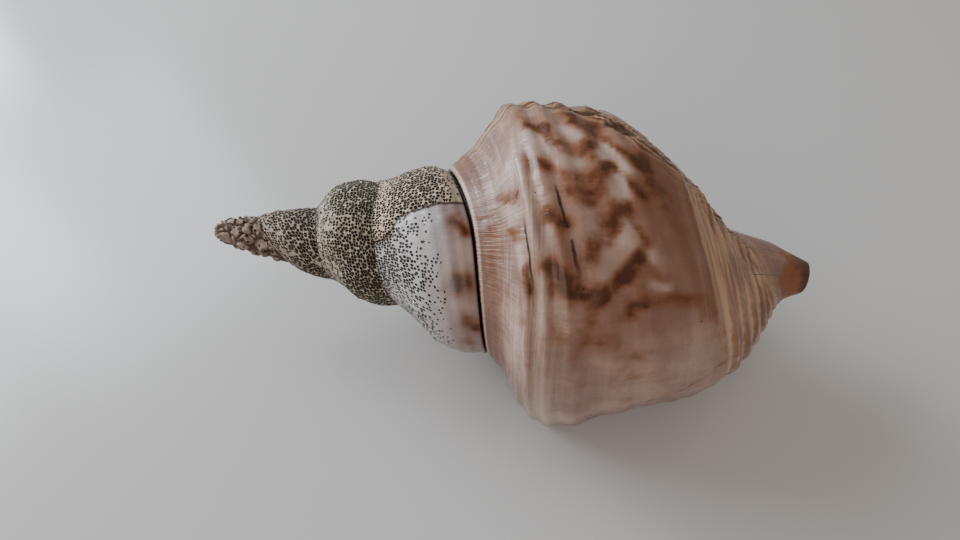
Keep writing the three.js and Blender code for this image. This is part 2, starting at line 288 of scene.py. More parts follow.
# %% [markdown]
# ## Relief
# On the real shell broad flat cords run along the whorl, finer ones crowd below the seam, and a
# scruffy ridge marks where the lip once rested. Across the older whorl runs a ledge, where the
# lip broke and grew on. The spire is worn into knobs. A displacement texture could do some of
# this, but heights worked out here can use the growth numbers, so they end at seams and ledges.

# %% Lumps of the worn apex
JITTER = 0.42  # how far a random point may lie from its cell's middle, in cells


def nearest_two(points, size):
    """Each lattice cell, size across, has one random point. Gives the distances, in cells, to
    the nearest and to the second nearest of them. The size may differ from point to point."""
    place = points / size
    corner = np.floor(place).astype(int)
    first = np.full(len(points), 9.0)
    second = np.full(len(points), 9.0)
    for step in np.ndindex(3, 3, 3):
        cell = corner + np.array(step) - 1
        x, y, z = (cell % LATTICE).T
        jitter = [noise_table[(x + k) % LATTICE, y, (z + 7 * k) % LATTICE] for k in range(3)]
        there = cell + 0.5 + JITTER * np.stack(jitter, -1)
        distance = np.linalg.norm(there - place, axis=1)
        second = np.minimum(second, np.maximum(first, distance))
        first = np.minimum(first, distance)
    return first, second


LUMP_SIZE = 4.8
END_LUMPS = 0.5  # size of the lumps at the very end, as a share of LUMP_SIZE
END_REACH = 8
LUMP_TURN = (3.38, 3.75)
LUMP_BEND = 0.8  # mm by which noise bends the outlines of the lumps
LUMP_BEND_SIZE = 2.5
LUMP_EDGE = 0.42  # width of a lump's slope down to its crevice, in cells


def apex_lumps(turn, points):
    """1 on the lumps and 0 in the crevices between them, and how far they have set in: nil on
    the young whorls, full at the apex. Towards the very end the lumps grow smaller."""
    share = smoothstep(turn, *LUMP_TURN)
    near = share > 0
    lump = np.ones(len(points))
    from_end = points[near] - (APEX_END, 0, AXIS_HEIGHT)
    size = LUMP_SIZE * (END_LUMPS + (1 - END_LUMPS) * smoothstep(from_end[:, 0], 0, END_REACH))
    bend = LUMP_BEND * noise(points[near], LUMP_BEND_SIZE)[:, None]
    first, second = nearest_two(from_end + bend, size[:, None])
    lump[near] = smoothstep(second - first, 0.0, LUMP_EDGE)
    return lump, share


print("lumps:", LUMP_SIZE, "mm across, and", LUMP_SIZE * END_LUMPS, "mm at the very end")

# %% Cords and ribs
# A pair of numbers is where something starts and where it is full, and four are a band.
CORD_SPACING = 0.145
CORD_CREST = 0.6325
CORD_DRIFT = [
    (0, -0.05), (0.187, 0), (0.276, 0.05), (0.339, 0.14), (0.368, 0.18), (0.6, 0.4), (2.5, 1.2),
]
CORD_HEIGHT = 0.75
CORD_BEND = 0.01
CORDS_START = (0.3, 0.45)
BASE_END = (2.1, 2.6)
FLATTER_AGES = [(0.8, (0.75, 1.1)), (0.2, (1.3, 2))]
FLATTER_GIRTH = 0.75
BELOW_GIRTH = (0.85, 1.05, 1.5, 1.75)
LIP_CORNER = {"height": 1.6, "turn": 0.06, "length": 0.06, "across": 0.63, "width": 0.13}
RIB_SPACING = 0.034
RIB_HEIGHT = 0.2
RIBBED = (0.01, 0.04, 0.2, 0.3)
RIBS_END = (0.8, 1)


def cord_wave(turn, across):
    """A cosine across the whorl, 1 on the cords' crests. The cords drift slowly across the
    whorl as it grows."""
    return np.cos(2 * np.pi * (across + curve(CORD_DRIFT, turn) - CORD_CREST) / CORD_SPACING)


def cords_at(turn, across, wear):
    """Height of the cords: their wave, less high on older whorls and below the girth, and a knob
    at the lip's corner, a bell in age times a bell across."""
    cords = CORD_HEIGHT * cord_wave(turn, across + CORD_BEND * wear)
    cords = cords * (1 - smoothstep(across, *BASE_END))
    cords = cords * (1 - sum(share * smoothstep(turn, *ages) for share, ages in FLATTER_AGES))
    cords = cords * (1 - FLATTER_GIRTH * band(across, *BELOW_GIRTH)) * smoothstep(across, *CORDS_START)
    corner = LIP_CORNER["height"] * hump(turn, LIP_CORNER["turn"], LIP_CORNER["length"])
    return cords + corner * hump(across, LIP_CORNER["across"], LIP_CORNER["width"])


def ribs_at(turn, across):
    """Height of the fine ribs below the seam of the last whorl, a cosine across it."""
    ribs = RIB_HEIGHT * np.cos(2 * np.pi * across / RIB_SPACING)
    return ribs * band(across, *RIBBED) * (1 - smoothstep(turn, *RIBS_END))


print("cords between two seams:", round(1 / CORD_SPACING, 1))

# %% The old lip and the ledge
VARIX = {"height": 1.6, "width": 0.035, "shoulder": 0.9, "shoulder_at": 0.3, "shoulder_width": 0.2}
VARIX_LINE = [(0, 0.53), (0.3, 0.52), (0.6, 0.5), (0.88, 0.475), (1.1, 0.437), (1.7, 0.41), (3, 0.38)]
VARIX_BEND = 0.003
LAMELLA_SPACING = 0.013
LAMELLA_HEIGHT = 0.35
BITE_STRETCH = (260, 9, 4.5)
BITE_SIZE = 1.6
BITTEN = (0.6, 0.8, 1.02, 1.2)
BITE_AT = -0.004
BITE_WIDTH = 0.016
GOUGE_DEPTH = 1.5
GOUGES = [(0.474, 0.87, 0.007, 0.1), (0.448, 1.0, 0.008, 0.09), (0.495, 0.68, 0.005, 0.06)]
LEDGE_HEIGHT = 0.7
LEDGE_WIDTH = 0.006
LEDGE_AGES = (1.1, 1.2, 1.5, 1.9)
BREAK_LINE = [(0, 1.305), (0.17, 1.315), (0.31, 1.361), (0.56, 1.371), (0.73, 1.378), (1, 1.385)]


def old_lip(turn, across, points):
    """Where the lip once rested: how far behind its line, the ridge's bell, and the gouges that
    wear has cut beside it, which are high values of noise that is stretched along the ridge."""
    behind = turn - curve(VARIX_LINE, across) + VARIX_BEND * noise(points, 7, 3.1)
    ridge = hump(behind, 0, VARIX["width"])
    stretched = np.stack([turn, across, np.ones(len(turn))], -1) * BITE_STRETCH
    bite = smoothstep(rough(stretched, BITE_SIZE), 0.2, 0.6) * hump(behind, BITE_AT, BITE_WIDTH)
    bite = bite * band(across, *BITTEN)
    for gouge_turn, gouge_across, length, width in GOUGES:
        bell = hump(np.hypot((turn - gouge_turn) / length, (across - gouge_across) / width), 0, 1)
        bite = np.maximum(bite, smoothstep(bell + 0.15 * rough(points, 3), 0.3, 0.7))
    return behind, ridge, bite


def varix_at(turn, across, points):
    """Height of the old lip: its ridge, higher on the shoulder, plus the lamellae, a cosine in
    age, and less the gouges."""
    behind, ridge, bite = old_lip(turn, across, points)
    shoulder = 1 + VARIX["shoulder"] * hump(across, VARIX["shoulder_at"], VARIX["shoulder_width"])
    lamellae = LAMELLA_HEIGHT * np.cos(2 * np.pi * behind / LAMELLA_SPACING) * ridge ** 2
    varix = VARIX["height"] * shoulder * ridge + lamellae - GOUGE_DEPTH * bite
    return varix * (1 - smoothstep(across, *BASE_END))


def ledge_at(turn, across):
    """Height of the ledge: a step in age at the line of the break, which wears off behind it."""
    ledge = LEDGE_HEIGHT * smoothstep(turn - curve(BREAK_LINE, across), 0, LEDGE_WIDTH)
    return ledge * band(turn, *LEDGE_AGES)


print("gouges beside the old lip:", len(GOUGES))

# %% Wear, and all the relief
WEAR_SIZE = 14
WEAR_LAYERS = [(0.35, 7, (1.4, 2.2)), (0.16, 2.2, (2, 2.2))]
SWELL = (0.5, 30)
SMALL_SWELL = (0.2, 5.5)
LUMPS = {"height": 1.2, "sunk": 0.7, "grain": 0.45, "grain_size": 3}
GROWTH_LINES = {"height": 0.06, "per_turn": 46, "bend": 1.3}
YOUNG_END = (1.2, 2.2)
SEAM_GROOVE = 2.0
GROOVE_WIDTH = 0.015
LAST_SEAM_END = (0.97, 1.0)
UPPER_EDGE = (0, 0.1)
LOWER_EDGE = (0.88, 1)
LOWER_EDGE_AGES = (0.85, 1)
UNDER_EDGE = (0.98, 1)
UNDER_EDGE_AGES = (0.98, 1.0, 1.97, 2.0)


def wear_at(turn, points, wear):
    """Height of what wear and growth leave: lattice noise that gets rougher towards the apex, the
    apex's lumps, a soft swell all over, and growth lines, a cosine in age."""
    lump, lumpy = apex_lumps(turn, points)
    grain = LUMPS["grain"] * rough(points, LUMPS["grain_size"])
    height = (LUMPS["height"] * lump - LUMPS["sunk"] + grain) * lumpy
    for layer, size, ages in WEAR_LAYERS:
        height = height + layer * rough(points, size) * smoothstep(turn, *ages)
    height = height + SWELL[0] * noise(points, SWELL[1])
    height = height + SMALL_SWELL[0] * rough(points, SMALL_SWELL[1])
    lines = np.cos(2 * np.pi * (turn * GROWTH_LINES["per_turn"] + GROWTH_LINES["bend"] * wear))
    return height + GROWTH_LINES["height"] * lines * (1 - smoothstep(turn, *YOUNG_END))


def relief_at(turn, across, points):
    """Height in mm: the sum of the cords, the old lip, the wear, the ribs and the ledge, let down
    to nothing at the seams, less a groove on both sides of each open seam."""
    off_lower = 1 - smoothstep(turn, *LOWER_EDGE_AGES) * smoothstep(across, *LOWER_EDGE)
    wear = rough(points, WEAR_SIZE)
    height = cords_at(turn, across, wear) + varix_at(turn, across, points)
    height = (height + wear_at(turn, points, wear)) * smoothstep(across, *UPPER_EDGE)
    height = (height + ribs_at(turn, across) + ledge_at(turn, across)) * off_lower
    last_seam = 1 - smoothstep(turn, *LAST_SEAM_END)
    height = height - SEAM_GROOVE * (1 - smoothstep(across, 0, GROOVE_WIDTH)) * last_seam
    return height - SEAM_GROOVE * band(turn, *UNDER_EDGE_AGES) * smoothstep(across, *UNDER_EDGE)


def outer_points(turn, across):
    """Points of the outer surface: the plain section moved by the relief, at right angles to the
    section, then spun."""
    reach = 0.004
    place = section_at(turn, across)
    along = section_at(turn, across + reach) - section_at(turn, across - reach)
    along = along / np.linalg.norm(along, axis=1)[:, None]
    height = relief_at(turn, across, spin(place, turn))
    place = place + height[:, None] * np.stack([-along[:, 1], along[:, 0]], -1)
    return spin(place, turn)


spot = (np.array([0.2]), np.array([LIP_CORNER["across"]]))
print("relief on a cord near the lip:", relief_at(*spot, spin(section_at(*spot), spot[0])).round(2), "mm")

# %% [markdown]
# ## The mouth
# Inside, the outer wall faces the columella, the pillar that the whorls wind round. Each ring
# runs down the outer wall and back up the columella. Both walls move towards each other by
# their thickness, and never by more than a part of the gap, so they can't cross. Near the lip
# the wall has rows of teeth and the columella fine folds.

# %% Rings of the hollow
HOLLOW_END = 3.4
WALL = [(0, 2.2), (0.05, 4.2), (0.12, 3.4), (1, 3)]
CALLUS = [(0, 1.2), (0.3, 0.6), (1, 0.5)]
MOUTH_TOP = [(0, 0.13), (0.08, 0.2), (0.22, 0.38), (0.9, 0.42), (1.6, 0.42)]
MOUTH_FOOT = [
    (0, 2.93), (0.12, 2.85), (0.35, 2.25), (0.45, 1.75), (0.6, 1.6), (0.9, 1.42), (3.4, 1.3),
]
FACING_ACROSS = [
    (0, 1), (0.48, 1.35), (0.74, 1.63), (1, 2.1), (1.35, 2.4), (1.7, 2.6), (2.05, 2.72), (2.4, 2.81),
    (2.7, 2.91), (3, 3),
]
TOOTH_HEIGHT = 1.0
TOOTH_SPACING = 0.25
TOOTH_NOTCH = 0.55  # depth of the notch that splits a tooth in two, as a share of its height
TEETH_ACROSS = (1.1, 0.8)  # middle and width of the row of teeth
TEETH_DEPTH = (0.035, 0.025)
FOLD_HEIGHT = 0.8
FOLD_SPACING = 0.055
FOLDS_ACROSS = (1.2, 0.6)
FOLDS_END = (0.15, 0.45)
WALL_SHARE = 0.4  # the most of the gap that the outer wall may take
CALLUS_SHARE = 0.3


def facing_walls(depth, across):
    """The outer wall, the columella that faces it, the gap between them and their age."""
    turn = follow_lip(depth, across)
    wall = section_at(turn, across)
    core = section_at(turn + 1, curve(FACING_ACROSS, across))
    return turn, wall, core, np.linalg.norm(wall - core, axis=1)


def outer_wall(depth, across):
    """The inside of the outer wall: its thickness, and pairs of teeth near the lip, each a
    cosine crest across the whorl under a bell in age."""
    turn, wall, core, gap = facing_walls(depth, across)
    pair = np.maximum(np.cos(2 * np.pi * across / TOOTH_SPACING), 0)
    notch = 1 - TOOTH_NOTCH * np.maximum(np.cos(4 * np.pi * across / TOOTH_SPACING), 0) ** 6
    teeth = TOOTH_HEIGHT * pair * notch * hump(across, *TEETH_ACROSS) * hump(depth, *TEETH_DEPTH)
    thick = np.minimum(curve(WALL, depth) + teeth, gap * WALL_SHARE)
    return spin(wall + (core - wall) * (thick / gap)[:, None], turn)


def inner_wall(depth, across):
    """The columella under its glaze, with folds: cosine crests that fade deeper inside."""
    turn, wall, core, gap = facing_walls(depth, across)
    fold = np.maximum(np.cos(2 * np.pi * across / FOLD_SPACING), 0)
    folds = FOLD_HEIGHT * fold * hump(across, *FOLDS_ACROSS) * (1 - smoothstep(depth, *FOLDS_END))
    thick = np.minimum(curve(CALLUS, depth) + folds, gap * CALLUS_SHARE)
    return spin(core + (wall - core) * (thick / gap)[:, None], turn)


print("the hollow reaches", HOLLOW_END, "turns in")

# %% [markdown]
# ## One closed mesh
# The outer surface is a grid of columns, one per small step of age, and rows across the whorl.
# Past the first turn the last row of a column is the first row of the column one turn younger,
# so the whorls share their seam and no gap can open. Rings close the lip and line the hollow.

# %% Grid of the outer surface
PER_TURN = 240
WHORL_ACROSS = np.concatenate([
    [0, 0.007, 0.015, 0.026], np.linspace(0.04, 0.96, 40), [0.974, 0.985, 0.993, 1],
])
BASE_ACROSS = np.concatenate([np.linspace(1, 2, 45)[1:], np.linspace(2, 3, 29)[1:]])
across_rows = np.concatenate([WHORL_ACROSS, BASE_ACROSS])
seam_row = len(WHORL_ACROSS) - 1
last_row = len(across_rows) - 1
columns = round(TURNS * PER_TURN)

turn_grid, across_grid = np.meshgrid(np.arange(columns + 1) / PER_TURN, across_rows, indexing="ij")
age_grid = follow_lip(turn_grid.ravel(), across_grid.ravel()).reshape(turn_grid.shape)
column_grid, row_grid = np.indices(turn_grid.shape)
own = (row_grid <= seam_row) | (column_grid <= PER_TURN)
own &= ~((row_grid == seam_row) & (column_grid >= PER_TURN))
index_grid = np.full(turn_grid.shape, -1)
index_grid[own] = np.arange(own.sum())
index_grid[PER_TURN:, seam_row] = index_grid[:columns - PER_TURN + 1, 0]
shell_points = [outer_points(age_grid[own], across_grid[own])]
point_count = own.sum()
print("outer grid:", columns, "columns,", point_count, "points")


def grid_faces(first_column, end_column, first_row, end_row):
    """Four corners of each cell, in the order that faces out, and their growth numbers."""
    column, row = np.meshgrid(
        np.arange(first_column, end_column), np.arange(first_row, end_row), indexing="ij")
    column = column.ravel()
    row = row.ravel()
    corners = [(column, row), (column, row + 1), (column + 1, row + 1), (column + 1, row)]
    faces = np.stack([index_grid[c, r] for c, r in corners], -1)
    growth = np.stack([np.stack([age_grid[c, r], across_grid[c, r]], -1) for c, r in corners], 1)
    return faces, growth


whorl_faces, whorl_growth = grid_faces(0, columns, 0, seam_row)
base_faces, base_growth = grid_faces(0, PER_TURN, seam_row, last_row)
quads = [whorl_faces, base_faces]
quad_growth = [whorl_growth, base_growth]
inside_of_points = [np.zeros(point_count)]
growth_of_points = [np.stack([age_grid[own], across_grid[own]], -1)]

# %% Lip and hollow
LIP_ROUNDS = 4
LIP_BULGE = 1.3  # the most that the lip's round edge stands out, in mm
LIP_STEP = 0.02  # a step in age past the lip, which gives the direction of that edge
MOUTH_STEPS = 80
DEEP_STEPS = 36
MOUTH_DEPTH = 0.9

lip_loop = np.concatenate([index_grid[0], index_grid[PER_TURN, seam_row + 1:][::-1]])
lip_growth = np.concatenate([
    np.stack([age_grid[0], across_grid[0]], -1),
    np.stack([age_grid[PER_TURN], across_grid[PER_TURN]], -1)[seam_row + 1:][::-1],
])
outer_count = last_row + 1
inner_count = len(lip_loop) - outer_count


def hollow_ring(depth):
    """One ring at a depth in turns: the outer wall from top to foot, then the columella from
    foot to top, each with rows spread as on the lip."""
    top = curve(MOUTH_TOP, np.array([depth]))[0]
    foot = curve(MOUTH_FOOT, np.array([depth]))[0]
    down = top + (foot - top) * across_rows / CANAL_TIP
    up = top + (foot - top) * np.linspace(1, 0, inner_count)
    points = np.concatenate([
        outer_wall(np.full(outer_count, depth), down),
        inner_wall(np.full(inner_count, depth), up),
    ])
    growth = np.stack([np.full(len(points), depth), np.concatenate([down, 2 * CANAL_TIP - up])], -1)
    return points, growth


outer_rim = shell_points[0][lip_loop]
inner_rim, inner_rim_growth = hollow_ring(0.0)
rim_middle = (outer_rim + inner_rim) / 2
beyond = outer_points(age_grid[0] - LIP_STEP, across_grid[0]) - outer_points(age_grid[0], across_grid[0])
beyond = beyond / np.linalg.norm(beyond, axis=1)[:, None]
half_thickness = np.linalg.norm(outer_rim - inner_rim, axis=1) / 2
bulge = np.zeros_like(outer_rim)
bulge[:outer_count] = beyond * np.minimum(half_thickness[:outer_count], LIP_BULGE)[:, None]

ring_points = []
ring_growth = []
for step in range(1, LIP_ROUNDS + 1):
    angle = np.pi * step / (LIP_ROUNDS + 1)
    to_outer = (outer_rim - rim_middle) * np.cos(angle)
    ring_points.append(rim_middle + to_outer + bulge * np.sin(angle))
    ring_growth.append(lip_growth if step <= LIP_ROUNDS / 2 else inner_rim_growth)
for depth in np.concatenate([
    MOUTH_DEPTH * (np.arange(MOUTH_STEPS + 1) / MOUTH_STEPS) ** 1.5,
    np.linspace(MOUTH_DEPTH, HOLLOW_END, DEEP_STEPS + 1)[1:],
]):
    points, growth = hollow_ring(depth)
    ring_points.append(points)
    ring_growth.append(growth)

loop_size = len(lip_loop)
previous_loop = lip_loop
previous_growth = lip_growth
around = np.arange(loop_size)
following = (around + 1) % loop_size
for number, (points, growth) in enumerate(zip(ring_points, ring_growth)):
    loop = point_count + around
    point_count += loop_size
    quads.append(np.stack([
        previous_loop[following], previous_loop[around], loop[around], loop[following]], -1))
    quad_growth.append(np.stack([
        previous_growth[following], previous_growth[around], growth[around], growth[following]], 1))
    inside_of_points.append(np.full(loop_size, min((number + 1) / (LIP_ROUNDS + 1), 1.0)))
    growth_of_points.append(growth)
    shell_points.append(np.maximum(points, (-1e9, -1e9, 0)))
    previous_loop = loop
    previous_growth = growth
print("rings in the lip and hollow:", len(ring_points))

# %% Closing the apex, the canal's tip and the hollow's end
CAP_RINGS = 12
CAP_LUMPS = {"height": 1.3, "sunk": 0.9, "grain": 0.7, "grain_size": 1.8}
TIP_DOME = 1.2  # mm that the canal's tip stands out

triangles = []
triangle_growth = []


def close_loop(loop, growth, middle, inside):
    """A fan of triangles round a loop, to a middle point."""
    global point_count
    centre = np.full(len(loop), point_count)
    point_count += 1
    shell_points.append(middle[None])
    inside_of_points.append(np.array([inside]))
    growth_of_points.append(growth.mean(0)[None])
    triangles.append(np.stack([loop, np.roll(loop, -1), centre], -1))
    middle_growth = np.broadcast_to(growth.mean(0), growth.shape)
    triangle_growth.append(np.stack([growth, np.roll(growth, -1, 0), middle_growth], 1))


def middle_of(loop):
    """The mean of a loop's points."""
    return np.concatenate(shell_points)[loop].mean(0)


def rounded_cap(loop, growth, end, rings):
    """Rings that lead from a loop to an end point as a dome: sideways by the cosine of an angle
    and forwards by its sine, with the apex's lumps on top. Returns the last ring."""
    global point_count
    edge = np.concatenate(shell_points)[loop]
    for number in range(1, rings):
        angle = math.pi / 2 * number / rings
        ring = edge.copy()
        ring[:, 0] += (end[0] - edge[:, 0]) * math.sin(angle)
        ring[:, 1:] = end[1:] + (edge[:, 1:] - end[1:]) * math.cos(angle)
        lump, _ = apex_lumps(np.full(len(ring), TURNS), ring)
        away = ring - (edge[:, 0].mean(), end[1], end[2])
        away = away / np.linalg.norm(away, axis=1)[:, None]
        height = CAP_LUMPS["height"] * lump - CAP_LUMPS["sunk"]
        height = height + CAP_LUMPS["grain"] * rough(ring, CAP_LUMPS["grain_size"])
        ring += away * (height * math.sqrt(math.cos(angle)))[:, None]
        next_loop = point_count + np.arange(len(loop))
        point_count += len(loop)
        shell_points.append(ring)
        inside_of_points.append(np.zeros(len(loop)))
        growth_of_points.append(growth)
        quads.append(np.stack([loop, np.roll(loop, -1), np.roll(next_loop, -1), next_loop], -1))
        quad_growth.append(np.stack([growth] * 4, 1))
        loop = next_loop
    return loop


apex_loop = np.concatenate([index_grid[columns - PER_TURN:columns, 0], index_grid[columns, :seam_row]])
apex_growth = np.tile([TURNS, 0.5], (len(apex_loop), 1))
apex_end = np.array([APEX_END, 0, AXIS_HEIGHT], float)
close_loop(rounded_cap(apex_loop, apex_growth, apex_end, CAP_RINGS), apex_growth, apex_end, 0.0)
tip_loop = index_grid[:PER_TURN + 1, last_row][::-1]
tip_growth = np.stack([age_grid[:PER_TURN + 1, last_row], across_grid[:PER_TURN + 1, last_row]], -1)[::-1]
close_loop(tip_loop, tip_growth, middle_of(tip_loop) - (TIP_DOME, 0, 0), 0.0)
close_loop(previous_loop[::-1], previous_growth[::-1], middle_of(previous_loop), 1.0)
print("points with both ends and the hollow closed:", point_count)

# %% Put the shell in its place
# The frame's origin is under the middle of the shell's box, so the axis points are moved there.
BACK_REACH = 56.438  # mm from the axis to the shell's rearmost point
FRAME_SHIFT = np.array([shell_low[0] / MM - APEX_END, shell_high[1] / MM - BACK_REACH, 0])
axis_points = np.concatenate(shell_points)
every_point = (axis_points + FRAME_SHIFT) * MM
every_quad = np.concatenate(quads)
every_triangle = np.concatenate(triangles)
growth_of_corners = np.concatenate([
    np.concatenate(quad_growth).reshape(-1, 2), np.concatenate(triangle_growth).reshape(-1, 2)])

mesh = bpy.data.meshes.new("shell_skin")
mesh.from_pydata(every_point.tolist(), [], every_quad.tolist() + every_triangle.tolist())
growth_map = mesh.uv_layers.new(name="growth")
growth_map.data.foreach_set("uv", growth_of_corners.ravel())


def store(name, values):
    """Keeps one number per point on the mesh, for the material to read."""
    layer = mesh.attributes.new(name, "FLOAT", "POINT")
    layer.data.foreach_set("value", np.asarray(values, np.float32))


store("inside", np.concatenate(inside_of_points))
mesh.shade_smooth()
shell = bpy.data.objects.new("shell_skin", mesh)
bpy.context.scene.collection.objects.link(shell)
print("shell mesh:", len(every_point), "points,", len(every_quad) * 2 + len(every_triangle), "triangles")
print("box", every_point.min(0).round(4), every_point.max(0).round(4))

# %% [markdown]
# ## Brown flames
# On the real shell the pigment lies in soft chocolate flames and zigzags, roughly in rows, with
# pale wedges between them. A procedural wave gives flames, but all alike. So each visible one is
# placed in growth numbers, as a soft ellipse or as the straight leg of a zigzag, and a
# seeded scatter fills the side that nothing shows. The strengths are kept on the points, and the
# material frays their edges.

# %% Marks, as (age, across, half length in age, half width across, strength)
SHOULDER_FLAMES = [
    (0.335, 0.17, 0.014, 0.05, 0.5), (0.295, 0.16, 0.012, 0.05, 0.5), (0.25, 0.2, 0.012, 0.05, 0.4),
    (0.232, 0.67, 0.01, 0.07, 0.5), (0.47, 0.45, 0.012, 0.05, 0.5), (0.41, 0.3, 0.012, 0.03, 0.5),
    (0.24, 0.44, 0.012, 0.03, 0.45),
]
GIRTH_FLAMES = [
    (0.254, 0.955, 0.006, 0.03, 0.7), (0.25, 0.835, 0.015, 0.022, 0.55), (0.228, 0.87, 0.009, 0.06, 0.6),
    (0.208, 0.98, 0.006, 0.03, 0.5), (0.18, 0.98, 0.007, 0.035, 0.45), (0.47, 0.93, 0.013, 0.05, 0.8),
    (0.46, 1.02, 0.011, 0.04, 0.7), (0.49, 0.82, 0.012, 0.05, 0.6), (0.402, 1.07, 0.013, 0.05, 0.6),
]
BASE_FLAMES = [
    (0.25, 1.42, 0.012, 0.1, 0.5), (0.233, 1.1, 0.008, 0.04, 0.45), (0.188, 1.1, 0.007, 0.045, 0.45),
    (0.385, 1.13, 0.018, 0.05, 0.55), (0.36, 1.25, 0.03, 0.12, 0.22), (0.31, 1.3, 0.03, 0.2, 0.16),
    (0.4, 1.4, 0.03, 0.15, 0.25), (0.205, 1.66, 0.008, 0.06, 0.5), (0.43, 1.2, 0.015, 0.1, 0.6),
    (0.408, 1.71, 0.02, 0.15, 0.5), (0.17, 1.55, 0.006, 0.08, 0.45),
]
OLDER_FLAMES = [
    (1.346, 0.82, 0.009, 0.06, 0.95), (1.333, 0.93, 0.009, 0.05, 0.85), (1.25, 0.88, 0.013, 0.11, 0.8),
    (1.25, 0.77, 0.012, 0.045, 0.95), (1.236, 0.65, 0.009, 0.05, 0.5), (1.237, 0.45, 0.01, 0.06, 0.5),
    (1.185, 0.86, 0.011, 0.07, 0.8), (1.174, 0.94, 0.009, 0.05, 0.8), (1.16, 0.66, 0.011, 0.06, 0.5),
    (1.135, 0.82, 0.01, 0.1, 0.55), (1.11, 0.7, 0.01, 0.1, 0.5), (1.06, 0.85, 0.012, 0.14, 0.5),
    (1.392, 0.6, 0.008, 0.06, 0.75), (1.395, 0.85, 0.007, 0.06, 0.7),
]
PALE_WEDGES = [
    (0.12, 0.6, 0.04, 0.09, 0.9), (0.39, 0.27, 0.02, 0.04, 0.7), (0.2, 1.3, 0.03, 0.1, 0.4),
    (1.3, 0.85, 0.016, 0.12, 0.6), (1.39, 0.7, 0.006, 0.05, 0.8), (1.392, 0.95, 0.006, 0.05, 0.8),
    (1.215, 0.8, 0.008, 0.1, 0.6),
]
print("flames placed by eye:", len(SHOULDER_FLAMES + GIRTH_FLAMES + BASE_FLAMES + OLDER_FLAMES))

# %% Legs of the zigzags, as (age, across, end age, end across, half width across, strength)
BROWN_LEGS = [
    (0.445, 0.52, 0.437, 0.6, 0.03, 0.95), (0.443, 0.61, 0.41, 0.655, 0.022, 0.8),
    (0.468, 0.76, 0.447, 0.79, 0.035, 0.9), (0.448, 0.87, 0.402, 0.83, 0.032, 1.0),
    (0.413, 0.71, 0.402, 0.81, 0.045, 0.65), (0.423, 0.915, 0.397, 1.05, 0.022, 0.9),
    (0.395, 0.905, 0.362, 1.06, 0.022, 0.85), (0.396, 0.895, 0.37, 0.86, 0.033, 0.95),
    (0.375, 0.79, 0.352, 0.83, 0.045, 0.7), (0.392, 0.5, 0.386, 0.635, 0.036, 0.95),
    (0.376, 0.27, 0.362, 0.37, 0.03, 0.9), (0.38, 0.715, 0.362, 0.735, 0.025, 0.6),
    (0.356, 0.955, 0.336, 0.91, 0.038, 0.95), (0.336, 0.905, 0.318, 0.88, 0.028, 0.9),
    (0.352, 0.965, 0.32, 1.06, 0.02, 0.6), (0.308, 1.005, 0.288, 0.935, 0.031, 1.0),
    (0.288, 0.93, 0.27, 0.855, 0.027, 0.95), (0.318, 0.835, 0.304, 0.815, 0.035, 0.8),
    (0.289, 0.62, 0.273, 0.775, 0.052, 1.0), (0.338, 0.6, 0.328, 0.7, 0.04, 0.9),
    (0.29, 0.45, 0.268, 0.49, 0.025, 0.85), (0.328, 0.33, 0.316, 0.4, 0.03, 0.8),
    (0.272, 1.03, 0.268, 1.38, 0.033, 0.6), (0.262, 0.965, 0.265, 1.02, 0.025, 0.8),
    (0.3, 1.06, 0.29, 1.11, 0.03, 0.45), (0.39, 1.1, 0.37, 1.2, 0.05, 0.5),
]
PALE_AND_HIGHLIGHT_LEGS = [
    (0.42, 0.905, 0.398, 0.865, 0.025, 1.0), (0.412, 0.925, 0.388, 0.99, 0.011, 0.9),
    (0.383, 0.94, 0.362, 0.95, 0.03, 0.95), (0.335, 0.96, 0.322, 0.965, 0.033, 0.85),
    (0.315, 1.07, 0.305, 1.06, 0.02, 0.6), (0.308, 0.885, 0.29, 0.88, 0.03, 0.5),
    (0.393, 0.74, 0.393, 0.82, 0.025, 0.6), (0.425, 0.53, 0.412, 0.6, 0.04, 0.8),
    # The leg from age 0.405 to 0.385, about 0.37 across, is a painted highlight on the shoulder; the other
    # legs are pale tents.
    (0.44, 0.71, 0.428, 0.8, 0.02, 0.8), (0.405, 0.37, 0.385, 0.38, 0.03, 0.8),
    (0.31, 0.4, 0.295, 0.42, 0.03, 1.0), (0.355, 0.31, 0.34, 0.34, 0.03, 0.9),
    (0.325, 0.595, 0.24, 0.6, 0.016, 0.7), (0.34, 0.83, 0.325, 0.84, 0.035, 0.6),
    (0.284, 1.06, 0.282, 1.14, 0.012, 0.6),
]
print("legs of zigzags:", len(BROWN_LEGS), "brown and", len(PALE_AND_HIGHLIGHT_LEGS), "pale_and_highlight")

# %% A seeded scatter for the far side
FAR_SIDE = (0.53, 1.02)
FAR_ROWS = np.arange(0.14, 2.2, 0.13)
FAR_STEP = 0.043
WEAKEST_KEPT = 0.3


def scattered_flames():
    """Rows of flames over the far side: one every FAR_STEP of age, shifted and sized by a seeded
    generator. The weakest quarter is left out, so that the rows look natural."""
    random = np.random.default_rng(11)
    age, row = np.meshgrid(np.arange(*FAR_SIDE, FAR_STEP), FAR_ROWS, indexing="ij")
    age = age + random.uniform(-0.014, 0.014, age.shape)
    row = row + random.uniform(-0.04, 0.04, row.shape)
    length = random.uniform(0.008, 0.026, age.shape)
    width = random.uniform(0.03, 0.1, age.shape) * (1 + smoothstep(row, 1, 1.6))
    strength = random.uniform(0.0, 1.2, age.shape)
    strength = np.where(strength < WEAKEST_KEPT, 0, strength) * (1 - 0.4 * smoothstep(row, 1.2, 1.8))
    flames = np.stack([age, row, length, width, np.minimum(strength, 1)], -1).reshape(-1, 5)
    return [tuple(flame) for flame in flames if flame[4] > 0]


far_flames = scattered_flames()
print("flames scattered over the far side:", len(far_flames))

